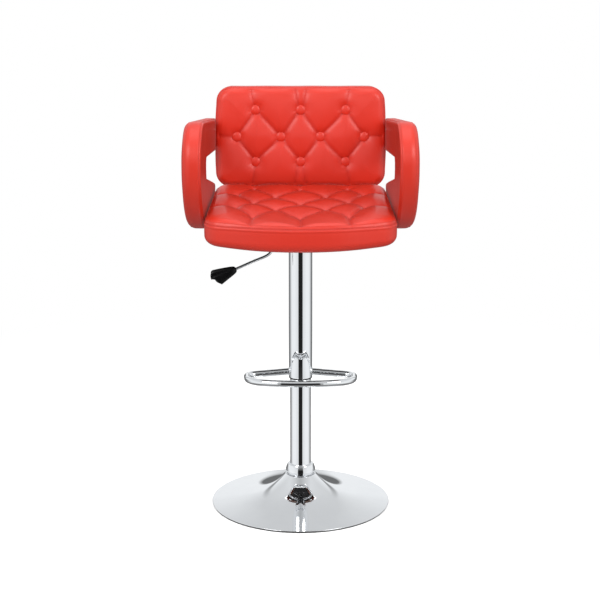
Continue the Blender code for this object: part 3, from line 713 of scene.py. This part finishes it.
def makeBackrest():
    ring, inward = padRing(backCorners(), back["counts"])
    radius, angle, thick = back["edgeRadius"], back["seamAngle"], back["thickness"]
    seamInset = radius * (1 - math.cos(angle))

    # the boxing's profile as (inset, w), from the front seam round to the rear panel's rebate
    turn = np.linspace(angle, 0, 14)
    front = np.stack([radius * (1 - np.cos(turn)), radius * (1 - np.sin(turn))], 1)
    rest = roundedPath([(0, radius, 0), (0, thick, 11), (16.0, thick, 2.5), (16.0, 48, 0)], closed=False)
    path = spaced(np.vstack([front[:-1], rest]), 80)
    way = unit(np.gradient(path, axis=0))
    out = np.stack([-way[:, 1], way[:, 0]], 1)
    s = np.concatenate([[0], np.cumsum(np.linalg.norm(np.diff(path, axis=0), axis=1))])
    q = np.clip(path[:, 1] / thick, 0, 1)
    rearSeam = back["rearSeam"]
    relief = seamRelief(s, tightSeam) + seamRelief(s - rearSeam, tightSeam)
    bulge = (np.sin(np.pi * q ** 0.8) * (path[:, 0] < 12))[:, None] * (0.15 + inward[None, :, 0] ** 2)

    def level(offset):
        p = path + out * (relief + offset)[:, None]
        xh = ring[None] + inward[None] * p[:, :1, None]
        wave = 0.4 * np.sin(xh[..., 0] / 17 + xh[..., 1] / 15) * np.sin(np.pi * q)[:, None]
        xh = xh + inward[None] * (wave - back["sideBulge"] * bulge)[..., None]
        return backPlace(xh[..., 0], xh[..., 1], p[:, 1:] + 0 * xh[..., 0])

    side = level(np.zeros(len(path)))
    # painted shade along both seams of the boxing
    seamDark = np.exp(-(s / 1.2) ** 2) + np.exp(-((s - rearSeam) / 1.2) ** 2)
    sideSeamShade = seamDark[:, None] * np.full(len(ring), seamShade)

    start = path[0] + out[0] * relief[0]
    seamRing = ring + inward * (start[0] - back["sideBulge"] * bulge[0][:, None])
    grid = spanned(seamRing, back["counts"])
    x, h = grid[..., 0], grid[..., 1]
    e = edgeDistance(grid, seamRing)
    inset = np.minimum(seamInset + e, radius)
    face = radius - np.sqrt(np.clip(radius ** 2 - (radius - inset) ** 2, 0, None))
    d = back["foldDepth"]
    spots, lines = diamondLines(back["rows"], back["threes"], back["fours"], d)
    top, low = back["height"] - 2, back["low"] + 2
    lowRow, middleRow, topRow = [row[0] for row in back["rows"]]
    for edge, row in ((top, topRow), (low, lowRow)):
        for sign in (-1, 1):
            aside, x0 = sign * back["middlePleat"], sign * back["threes"][-1]
            lines += [((0.3 * aside, row, 0.8 * d), (aside, edge, 0.7 * d)),
                      ((x0, row, d), (x0 * 1.09, edge, 0.7 * d))]
    for x0 in (back["fours"][0], back["fours"][-1]):
        lines.append(((x0, middleRow, d), (x0 * 1.31, middleRow + 2, 0.7 * d)))
    wobble = 1.0 * np.sin(h / 19 + x / 33), 1.0 * np.sin(x / 21 - h / 37)
    fold, sharp = folds(x + wobble[0], h + wobble[1], lines, back["folds"])
    bowl, shadeMask = dimples(x, h, spots, back["tuft"])
    fade = 1 - np.exp(-(e / 5) ** 2)
    w = face - back["crown"] * (1 - np.exp(-e / back["crownReach"])) + (fold + bowl) * fade
    w -= seamRelief(e * 1.15, tightSeam) * np.exp(-(e / 14) ** 4)
    w = np.minimum(w, back["deepest"])
    w = np.where(e < 1e-6, start[1], w)
    faceSheet = backPlace(x, h, w)
    # painted shade on the face: along the folds, over the bowls round the buttons and beside the seam
    seamDark = seamShade * np.exp(-(e * 1.15 / 1.2) ** 2)
    facePaintedShade = np.maximum(np.maximum(sharp * 0.8 * fade, 0.8 * shadeMask), seamDark)
    end = path[-1] + out[-1] * relief[-1]
    rebate = spanned(ring + inward * end[0], back["counts"])
    rebateSheet = backPlace(rebate[..., 0], rebate[..., 1], end[1] + 0 * rebate[..., 0])
    paintedShade = [sideSeamShade, facePaintedShade, rebateSheet[..., 0] * 0]
    pad = makePiece("backrestPad", [(side, True), (faceSheet, False), (rebateSheet, False)],
                    "red_leather", nodes=["backrest_cushion"], paintedShade=paintedShade, sharp=80)
    outer = level(np.ones(len(path)))
    for name, at in (("Front", tightSeam["ridgeAt"]), ("Rear", rearSeam - tightSeam["ridgeAt"])):
        k = int(np.argmin(np.abs(s - at)))
        stitchRow("backrestStitch" + name, side[k], outer[k] - side[k])

    # ten covered buttons: a dome with a rolled edge, sunk in its bowl
    r = back["buttonRadius"]
    dome = roundedPath([(0, 0.0, 0), (0.7 * r, 0.4, 16), (r, 2.6, 2.8), (r, 8.5, 0), (0, 8.5, 0)],
                       closed=False, arcStep=8.0)
    a = np.linspace(0, 2 * np.pi, 40, endpoint=False)
    for node in sorted(n for n in frame["nodes"] if n.startswith("backrest_button")):
        lowBox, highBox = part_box(node)
        centre = (lowBox + highBox) / 2 / mm
        rise = np.array([0, math.sin(back["lean"]), math.cos(back["lean"])])
        tall = float((np.array(centre) - back["origin"]) @ rise)
        wCentre = float((np.array(centre) - back["origin"]) @ np.array([0, rise[2], -rise[1]]))
        cx = centre.x / (1 - back["taper"] * wCentre)
        px = cx + dome[:, :1] * np.cos(a)
        ph = tall + dome[:, :1] * np.sin(a)
        button = backPlace(px, ph, dome[:, 1:] - 1.8 + 0 * a)
        # painted shade on each button's sides, where it sinks into its bowl
        rim = np.exp(-((dome[:, :1] - r) / 1.2) ** 2) * np.ones(len(a)) * (dome[:, 1:] > 3)
        makePiece("coveredButton" + node.split("_")[-1], [(button, True)], "red_leather",
                  nodes=[node], paintedShade=[rim], sharp=70)

    # the rear panel: a shallow cushion drawn tight over its board
    inset = back["panelInset"]
    profile = roundedPath([(0, 47.0, 0), (0, thick + 0.5, 3.0), (14, thick + 1.5, 30),
                           (40, thick + 2.5, 0)], closed=False)
    profile = spaced(profile, 24)
    panelRing = ring + inward * inset
    xh = panelRing[None] + inward[None] * profile[:, :1, None]
    band = backPlace(xh[..., 0], xh[..., 1], profile[:, 1:] + 0 * xh[..., 0])
    cover = spanned(xh[-1], back["counts"])
    e = edgeDistance(cover, xh[-1])
    ripple = 0.3 * np.sin(cover[..., 0] / 16) * (1 - np.exp(-e / 12))
    puff = thick + 2.5 + 3.0 * (1 - np.exp(-e / 30)) + ripple
    coverSheet = backPlace(cover[..., 0], cover[..., 1], puff)
    inner = spanned(xh[0], back["counts"])
    innerSheet = backPlace(inner[..., 0], inner[..., 1], profile[0, 1] + 0 * inner[..., 0])
    panel = makePiece("backrestRearPanel", [(band, True), (coverSheet, False), (innerSheet, False)],
                      "red_leather", nodes=["backrest_rear_panel"], sharp=70)


makeBackrest()
print("backrest made")


# ---- arms: a padded section carried round the C of each arm

arm = {
    "thickness": 44.5,
    "toe": math.atan(0.062),
    "innerFace": (202.0, 198.0),
    "outer": [(262, 876.4, 0), (-162, 961, 84), (-162, 675.7, 180), (195, 675.7, 0)],
    "inner": [(262, 799, 0), (-22, 845, 12), (-22, 801, 6), (195, 736, 0)],
    "spans": (96, 110, 80),
    "innerEdge": 10.0,           # edge radii: tight beside the sitter, full on the outside
    "outerEdge": 21.0,
    "reach": 22.0,               # how far a band's profile runs down the side faces
    "outerSeam": 8.0,
    "innerSeam": 3.5,
    "endRound": 10.0,
    "puff": 4.8,
}


def armPlace(side, x, y, z):
    # local x runs outwards from the inner face, and the front swings out by the toe angle
    c, s = math.cos(arm["toe"]), math.sin(arm["toe"])
    x0, y0 = arm["innerFace"]
    return np.stack([side * (x0 + x * c - (y - y0) * s), y0 + x * s + (y - y0) * c, z + 0 * x], -1) * mm


def matched(corners, spans, bendStart, bendEnd):
    # the path cut at the start and end of its bend, each stretch evenly spaced
    path = roundedPath(corners, closed=False, arcStep=1.5)
    a, b = [int(np.argmin(np.linalg.norm(path - np.array(p, float), axis=1))) for p in (bendStart, bendEnd)]
    parts = [spaced(path[:a + 1], spans[0] + 1)[:-1], spaced(path[a:b + 1], spans[1] + 1)[:-1],
             spaced(path[b:], spans[2] + 1)]
    return np.concatenate(parts)


def bandProfile(offset):
    # across one band, as (depth below the edge, x) from the inner face to the outer: a crowned strip between
    # two rounded edges, with a sewn seam in relief near each; also where thread and painted shade lie
    t, reach = arm["thickness"], arm["reach"]
    path = roundedPath([(reach, 0, 0), (0, 0, arm["innerEdge"]), (0, t, arm["outerEdge"]), (reach, t, 0)],
                       closed=False, arcStep=4.0)
    path = spaced(path, 62)
    way = unit(np.gradient(path, axis=0))
    out = np.stack([-way[:, 1], way[:, 0]], 1)
    s = np.concatenate([[0], np.cumsum(np.linalg.norm(np.diff(path, axis=0), axis=1))])
    seams = [s[int(np.argmin(np.abs(path[:, 1] - at)))] for at in (arm["innerSeam"], t - arm["outerSeam"])]
    relief = sum(seamRelief(s - at, tightSeam) for at in seams) + 0.5 * np.sin(np.pi * s / s[-1])
    # painted shade along each seam, heavier at the inner one
    shade = sum(k * np.exp(-((s - at) / 1.2) ** 2) for k, at in zip((0.3, 0.1), seams))
    rows = [int(np.argmin(np.abs(s - at))) for at in (seams[0] + 3.0, seams[1] - 3.0)]
    return path + out * (relief + offset)[:, None], shade, rows


def armSection(offset=0.0):
    # the whole section: outer band, outer face, inner band and inner face; a point lies at
    # fixed + share * width from the outer edge
    band, shade, rows = bandProfile(offset)
    sweep = np.linspace(0, 1, 18)[1:-1]
    t, reach = arm["thickness"], arm["reach"]
    swell = np.sin(np.pi * sweep)
    fixed = np.concatenate([band[:, 0], reach * (1 - 2 * sweep), -band[::-1, 0], reach * (2 * sweep - 1)])
    share = np.concatenate([0 * band[:, 0], sweep, 0 * band[:, 0] + 1, 1 - sweep])
    x = np.concatenate([band[:, 1], t + arm["puff"] * swell, band[::-1, 1], -0.4 * swell])
    # painted seam shade on the bands, none on the faces
    shadeMask = np.concatenate([shade, 0 * sweep, shade[::-1], 0 * sweep])
    return fixed, share, x, np.clip(shadeMask, 0, 1), rows


def armSkin(side, offset=0.0):
    outer = matched(arm["outer"], arm["spans"], (-61.7, 941.0), (18.0, 675.7))
    inner = matched(arm["inner"], arm["spans"], (-8.0, 842.7), (-16.0, 799.2))
    width = np.linalg.norm(inner - outer, axis=1, keepdims=True)
    across = (inner - outer) / width
    fixed, share, x, shadeMask, rows = armSection(offset)
    q = fixed[None] + share[None] * width
    half = arm["thickness"] / 2

    # near each end the section is drawn in, by a quarter round of the end radius
    length = np.concatenate([[0], np.cumsum(np.linalg.norm(np.diff((outer + inner) / 2, axis=0), axis=1))])
    toEnd = np.minimum(length, length[-1] - length)[:, None]
    r = arm["endRound"]
    draw = r - np.sqrt(np.clip(r ** 2 - np.clip(r - toEnd, 0, r) ** 2, 0, None))
    q = width / 2 + (q - width / 2) * (1 - draw / (width / 2))
    xx = half + (x[None] - half) * (1 - draw / half)

    # soft creases where the leather turns the tight inner corner
    step = np.arange(len(outer))[:, None]
    bend = np.exp(-((step - arm["spans"][0] - arm["spans"][1] / 2) / 34.0) ** 2)
    inward = np.clip(q / width, 0, 1)
    ripple = np.sin(step / 3.1 + np.sin(q / 9)) * bend * inward ** 2 * (1 - inward)
    xx = xx + np.sign(xx - half) * ripple
    return armPlace(side, xx, outer[:, :1] + across[:, :1] * q, outer[:, 1:] + across[:, 1:] * q), shadeMask, rows


def makeArm(side, name):
    skin, shadeMask, rows = armSkin(side)
    proud = armSkin(side, 1.0)[0]
    caps = []
    for row in (skin[0], skin[-1]):
        centre = row.mean(0)
        caps.append(np.stack([centre + (row - centre) * shrink for shrink in (1.0, 0.7, 0.4, 0.0)]))
    body = np.concatenate([caps[0][:0:-1], skin, caps[1][1:]])
    plain = np.zeros((3, len(shadeMask)))
    # painted seam shade for each point, none on the end caps
    value = np.concatenate([plain, shadeMask + np.zeros((len(skin), 1)), plain])
    piece = makePiece("armPad" + name, [(body, True)], "red_leather", nodes=["arm_" + name.lower()],
                      paintedShade=[value], sharp=80)
    for label, k in zip(("Inner", "Outer"), rows):
        stitchRow(f"armStitch{label}{name}", skin[4:-4, k], (proud - skin)[4:-4, k], closed=False)


makeArm(-1, "Left")
makeArm(1, "Right")
print("arms made")


# ---- chrome: base, column, footrest and lever

base = {"radius": 210.0, "rimLow": 3.3, "rimTop": 5.0, "neckRadius": 36.0, "neckTop": 73.0, "hole": 30.0,
        "sheet": 2.0, "segments": 192}


def trumpet(radius):
    # height of the base: a shallow cone that sweeps up to the neck, 0.42 t + 0.58 t^4.4
    t = (base["radius"] - radius) / (base["radius"] - base["neckRadius"])
    return base["rimTop"] + (base["neckTop"] - base["rimTop"]) * (0.42 * t + 0.58 * t ** 4.4)


def makeBase():
    r = base["neckRadius"] + (base["radius"] - 1.2 - base["neckRadius"]) * np.linspace(0, 1, 90) ** 1.5
    upper = np.stack([r, trumpet(r)], 1)
    lower = np.stack([r[::-1] - base["sheet"], trumpet(r[::-1]) - base["sheet"]], 1)
    lower = lower[lower[:, 0] < base["radius"] - base["sheet"] - 1.0]
    a = np.linspace(np.pi / 2, -np.pi / 2, 10)
    rimMiddle = (base["rimLow"] + trumpet(base["radius"] - 1.2)) / 2
    rimHalf = (trumpet(base["radius"] - 1.2) - base["rimLow"]) / 2
    rim = np.stack([base["radius"] - 1.2 + 1.2 * np.cos(a), rimMiddle + rimHalf * np.sin(a)], 1)
    hem = np.array([[base["radius"] - base["sheet"], base["rimLow"]]])
    neck = roundedPath([(base["hole"], base["neckTop"] - base["sheet"], 0),
                        (base["hole"], base["neckTop"], 0.8),
                        (base["neckRadius"] - 0.2, base["neckTop"], 1.2),
                        (base["neckRadius"] + 0.3, base["neckTop"] - 2.0, 0)], closed=False)
    profile = np.vstack([neck[:-1], upper[1:], rim[1:], hem, lower])
    profile = np.vstack([profile, profile[:1]]) * mm
    makePiece("trumpetBase", [(turned(profile, base["segments"]), True)], "chrome", "base", ["base_plate"])


def turnedPiece(name, corners, slotName, body, node):
    path = roundedPath(corners, arcStep=12.0)
    profile = np.vstack([path, path[:1]]) * mm
    makePiece(name, [(turned(profile, tubeSegments), True)], slotName, body, [node])


tubeSegments = 112
column = {"inner": 21.5, "outer": 24.5, "top": 385.0, "foot": 17.3, "flange": 60.0, "flangeTop": 23.3}
sleeve = {"inner": 26.2, "outer": 27.4, "low": 315.0, "top": 641.7}
footrest = {
    # one side of the bar's plan, from the weld to the middle of the front
    "half": [(-27.9, -2.0, 0.0), (-126.0, -9.0, 22.0), (-121.0, -98.0, 62.0), (0.0, -131.0, 270.0)],
    "height": 327.0,
    "rise": 8.6,                 # how far the front stands above the welds
    "dip": 7.5,                  # how far the side corners hang below them
    "radius": 8.0,
    "beadRadius": 1.3,
}


def makeColumn():
    c = column
    turnedPiece("columnTube", [(c["inner"], c["foot"], 0.5), (c["flange"], c["foot"], 0.8),
                               (c["flange"], c["flangeTop"], 0.8), (c["outer"] + 0.1, c["flangeTop"], 3.0),
                               (c["outer"], c["top"], 0.8), (c["inner"], c["top"], 0.8)],
                "chrome", "base", "column_tube")
    turnedPiece("columnCollar", [(24.8, 73.3, 0.3), (33.2, 73.3, 2.0), (35.6, 84.0, 16.0), (30.0, 98.0, 2.5),
                                 (25.4, 99.0, 0.6), (24.8, 98.0, 0.3)], "chrome", "base", "column_collar")
    s = sleeve
    turnedPiece("upperTube", [(s["inner"], s["low"], 0.4), (s["outer"], s["low"], 0.5),
                              (s["outer"], s["top"], 0.5), (s["inner"], s["top"], 0.4)],
                "chrome", "seat", "upper_tube")
    turnedPiece("sleeveLip", [(24.8, 311.7, 0.6), (27.5, 311.7, 1.4), (27.5, 314.8, 0.6),
                              (26.0, 314.9, 0.3), (25.9, 344.7, 0.4), (24.8, 344.7, 0.4)],
                "black_plastic", "seat", "upper_tube_bush")


def makeFootrest():
    half, high = footrest["half"], footrest["height"]
    corners = half + [(-x, y, r) for x, y, r in reversed(half[:-1])]
    plan = spaced(roundedPath(corners, closed=False, arcStep=2.0), 260)
    weldX, weldY = half[0][:2]
    cornerX = half[1][0]
    forward = plan[:, 1] / half[-1][1]
    aside = np.clip((np.abs(plan[:, 0]) + weldX) / (weldX - cornerX), 0, 1)
    z = high + footrest["rise"] * forward - footrest["dip"] * aside * (1 - forward)
    route = np.stack([plan[:, 0], plan[:, 1], z], 1) * mm
    makePiece("footrestBar", [(cappedBar(route, footrest["radius"] * mm, 32), True)], "chrome",
              nodes=["footrest_ring"], sharp=50)
    # a rolled weld bead where each end meets the tube
    for side, name in ((-1, "Left"), (1, "Right")):
        a = np.linspace(0, 2 * np.pi, 48, endpoint=False)
        b = np.linspace(0, 2 * np.pi, 10, endpoint=False)
        beadR = footrest["beadRadius"]
        ringR = footrest["radius"] + 0.2 + beadR * np.cos(b)[:, None] + 0.12 * np.sin(11 * a)
        r = sleeve["outer"]
        deep = np.sqrt(np.clip(r ** 2 - (ringR * np.cos(a)) ** 2, 0, None)) - 0.5 + beadR * np.sin(b)[:, None]
        bead = np.stack([side * deep, weldY + ringR * np.cos(a), high + ringR * np.sin(a)], -1) * mm
        bead = np.concatenate([bead, bead[:1]])
        makePiece("footrestWeld" + name, [(bead, True)], "chrome", sharp=60)


lever = {
    "route": [(-31.0, 0, 656.6), (-46, -3, 656), (-57, -9, 648), (-65, -16, 630), (-76, -21, 616),
              (-112, -29, 602), (-164, -39.3, 581)],
    "rod": 3.2,
    "knobStart": (-150.5, -36.7, 586.5),
    "knobFace": (0.15, -1.0, 0.25),
    "knobLength": 57.0,
    "knobThickness": 8.0,
    "knobNeck": 8.4,             # half widths: beside the rod, and what the fan adds
    "knobFlare": 11.4,
    "scallops": 3,
}


def makeLever():
    route = smoothRoute(lever["route"], 16)
    makePiece("leverRod", [(cappedBar(route * mm, lever["rod"] * mm, 28, (0, 1, 0)), True)], "chrome",
              "lever", ["lever_rod"], sharp=50)
    way = unit(route[-1] - np.array(lever["route"][-2], float))
    face = np.array(lever["knobFace"])
    face = unit(face - way * (face @ way))
    across = np.cross(face, way)
    # a fan: each section is a rounded flat oval, whose half width opens along u; the far edge is scalloped
    u = (1 - np.cos(np.linspace(0, np.pi, 90))) / 2
    a = np.linspace(0, 2 * np.pi, 96, endpoint=False)
    closeWide = (1 - np.abs(2 * u - 1) ** 12) ** (1 / 2.2)
    closeThick = (1 - np.abs(2 * u - 1) ** 5) ** (1 / 2.6)
    opening = np.clip((u - 0.06) / 0.80, 0, 1)
    wide = (lever["knobNeck"] + lever["knobFlare"] * opening * (1.2 - 0.2 * opening)) * closeWide
    thick = lever["knobThickness"] * (1.05 - 0.35 * u) * closeThick
    ca, sa = np.cos(a), np.sin(a)
    v = np.sign(ca) * np.abs(ca) ** 0.8
    s = wide[:, None] * v
    wave = -np.cos(np.pi * lever["scallops"] * v)[None]
    t = thick[:, None] * np.sign(sa) * np.abs(sa) ** 0.75 * (1 - 0.10 * wave * (u ** 1.3)[:, None])
    bump = -1.6 * wave * (u ** 8)[:, None]
    bulge = -(3.5 * v ** 2 + 6.0 * v)[None] * (u ** 3)[:, None]
    along = -2 + (lever["knobLength"] + 2) * u[:, None] + bump + bulge
    knob = (np.array(lever["knobStart"]) + way * along[..., None] + across * s[..., None]
            + face * t[..., None]) * mm
    makePiece("leverPaddle", [(knob, True)], "black_plastic", "lever", ["lever_knob"], sharp=60)


def makeBolts():
    # button heads with a six-sided socket; the hexagon's radius is a cos(30) / cos((turn mod 60) - 30)
    a = np.linspace(0, 2 * np.pi, 48, endpoint=False)
    for node in sorted(n for n in frame["nodes"] if "bolt" in n):
        low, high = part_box(node)
        x, y = (low.x + high.x) / 2 / mm, (low.y + high.y) / 2 / mm
        z = low.z / mm
        wide = (high.x - low.x) / 2 / mm
        hexagon = 2.3 / np.cos((a % (np.pi / 3)) - np.pi / 6)
        head = roundedPath([(2.9, z, 0), (wide - 2.2, z, 0.6), (wide, z + 1.6, 1.2), (wide, z + 4.5, 0.3),
                            (3.9, z + 4.5, 0.2), (3.9, high.z / mm, 0.4), (0, high.z / mm, 0)], closed=False,
                           arcStep=20.0)
        head = np.stack([head[:, :1] * np.cos(a), head[:, :1] * np.sin(a), head[:, 1:] + 0 * a], -1)
        socket = np.stack([np.stack([k * hexagon * np.cos(a), k * hexagon * np.sin(a), z + d + 0 * a], -1)
                           for k, d in ((0.0, 2.4), (1.0, 2.4), (1.0, 0.3))])
        bolt = np.concatenate([socket, head]) + np.array([x, y, 0])
        makePiece("bolt_" + node, [(bolt * mm, True)], "zinc", nodes=[node], sharp=35)


def softenCopy(node, width, name):
    # a merged copy of a pressed part, with its edges broken by a small bevel
    mesh = frame["nodes"][node].data.copy()
    work = bmesh.new()
    work.from_mesh(mesh)
    bmesh.ops.remove_doubles(work, verts=work.verts, dist=1e-5)
    bmesh.ops.dissolve_limit(work, angle_limit=math.radians(1), verts=work.verts, edges=work.edges)
    bmesh.ops.recalc_face_normals(work, faces=work.faces)
    work.to_mesh(mesh)
    work.free()
    piece = bpy.data.objects.new(name, mesh)
    bpy.context.collection.objects.link(piece)
    bevel = piece.modifiers.new("edges", "BEVEL")
    bevel.width = width * mm
    bevel.segments = 3
    bevel.limit_method = "ANGLE"
    bevel.angle_limit = math.radians(50)
    mesh.shade_smooth()
    mesh.set_sharp_from_angle(angle=math.radians(40))
    body = next(b for b, nodes in frame["record"]["behaviour"]["bodies"].items() if node in nodes)
    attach(piece, body)
    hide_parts(node)


makeBase()
makeColumn()
makeFootrest()
makeLever()
makeBolts()
for node, width, name in (("mechanism_box", 0.9, "mechanismHousing"), ("seat_plate", 0.8, "mountingPlate"),
                          ("arm_strap_left", 0.8, "armStrapLeft"), ("arm_strap_right", 0.8, "armStrapRight"),
                          ("lever_tongue", 0.8, "leverTongue")):
    softenCopy(node, width, name)
print("metalwork made")


# ---- floor, room and lamps

def makeFloor():
    half = stage["floorSize"] / 2
    mesh = bpy.data.meshes.new("floor")
    corners = [(-half, -half, 0), (half, -half, 0), (half, half, 0), (-half, half, 0)]
    mesh.from_pydata(corners, [], [(0, 1, 2, 3)])
    floor = bpy.data.objects.new("floor", mesh)
    bpy.context.collection.objects.link(floor)
    made, net = finishOf("paleFloor")
    place = net.place()
    away = net.add("ShaderNodeVectorMath", {"operation": "LENGTH"}, {0: place}, 1)
    far = net.add("ShaderNodeMapRange", {"interpolation_type": "SMOOTHSTEP"},
                  {0: away, 1: stage["nearFloor"], 2: stage["farFloor"], 3: 0.0, 4: 1.0})
    # the camera sees it white; as a source of light from below it is dimmer
    seen = net.add("ShaderNodeLightPath", None, None, 0)
    paper = net.blendColor(net.noise(3.0, 2.0), (0.90, 0.90, 0.90, 1), (0.92, 0.92, 0.92, 1))
    paper = net.blendColor(seen, (0.45, 0.45, 0.45, 1), paper)
    matt = net.add("ShaderNodeBsdfDiffuse", None, {"Color": paper})
    tone = net.blendColor(seen, (0.0, 0.0, 0.0, 1), rgba(stage["floorGlow"]))
    glow = net.add("ShaderNodeEmission", None, {"Color": tone, "Strength": 1.0})
    near = net.add("ShaderNodeAddShader", None, {0: matt, 1: glow})
    tone = net.blendColor(seen, rgba(stage["farFloorLight"]), (1, 1, 1, 1))
    white = net.add("ShaderNodeEmission", None, {"Color": tone, "Strength": 1.0})
    ground = net.add("ShaderNodeMixShader", None, {0: far, 1: near, 2: white})
    # mirror rays pass through it, so chrome shows the room and not one flat white
    clear = net.add("ShaderNodeBsdfTransparent")
    rays = net.add("ShaderNodeLightPath", None, None, 3)
    surface = net.add("ShaderNodeMixShader", None, {0: rays, 1: ground, 2: clear})
    net.add("ShaderNodeOutputMaterial", None, {"Surface": surface})
    mesh.materials.append(made)


def makeRoom():
    # mirror rays see a white room with a dark gap behind the camera and two grey flags at the rear
    world = bpy.context.scene.world or bpy.data.worlds.new("room")
    bpy.context.scene.world = world
    world.use_nodes = True
    net = Net(world.node_tree)
    way = net.add("ShaderNodeTexCoord", None, None, 0)
    x, y, z = [net.add("ShaderNodeSeparateXYZ", None, {0: way}, k) for k in range(3)]
    aside = net.maths("ARCTAN2", net.maths("ABSOLUTE", x), -1.0 * y) * (180 / math.pi)
    levels = []
    for zone in ("lowLevels", "wallLevels", "skyLevels"):
        stops = [(angle / 180, (level * 0.98, level, level * 1.015)) for angle, level in stage[zone]]
        levels.append(net.add("ShaderNodeValToRGB", {"stops": stops}, {0: aside / 180.0}))
    mirror = rgba(stage["underfoot"])
    for level, (start, end) in zip(levels, ((-0.60, -0.38), (-0.02, 0.05), (0.30, 0.62))):
        share = net.add("ShaderNodeMapRange", None, {0: z, 1: start, 2: end, 3: 0.0, 4: 1.0})
        mirror = net.blendColor(share, mirror, level)
    seen, glossy = [net.add("ShaderNodeLightPath", None, None, k) for k in (0, 3)]
    plain = net.blendColor(seen, rgba(stage["roomColor"]), (1.0, 1.0, 1.0, 1))
    color = net.blendColor(glossy, plain, mirror)
    room = net.add("ShaderNodeBackground", None, {"Color": color, "Strength": 1.0})
    net.add("ShaderNodeOutputWorld", None, {"Surface": room})


def addLamp(name, place, aim, size, watts):
    lamp = bpy.data.lights.new(name, "AREA")
    lamp.shape = "RECTANGLE"
    lamp.size, lamp.size_y = size
    lamp.energy = watts
    made = bpy.data.objects.new(name, lamp)
    bpy.context.collection.objects.link(made)
    made.location = place
    made.rotation_euler = (Vector(aim) - Vector(place)).to_track_quat("-Z", "Y").to_euler()
    return made


makeFloor()
makeRoom()
addLamp("keyLamp", (-2.6, -3.0, 3.4), (0, 0, 0.7), (1.8, 1.8), 64)
addLamp("fillLamp", (2.8, -2.6, 3.0), (0, 0, 0.7), (1.8, 1.8), 56)
addLamp("topLamp", (0, 0.2, 3.6), (0, 0, 0), (2.4, 2.4), 22)
frontLamp = addLamp("frontLamp", (0, -5.0, 2.3), (0, 0, 0.8), (2.4, 1.6), 62)
frontLamp.visible_glossy = False

# the chrome carries no red: leather is kept out of mirror reflections
for piece in bpy.context.scene.objects:
    if finishes["red_leather"] in [slot.material for slot in piece.material_slots]:
        piece.visible_glossy = False
print("stage made")
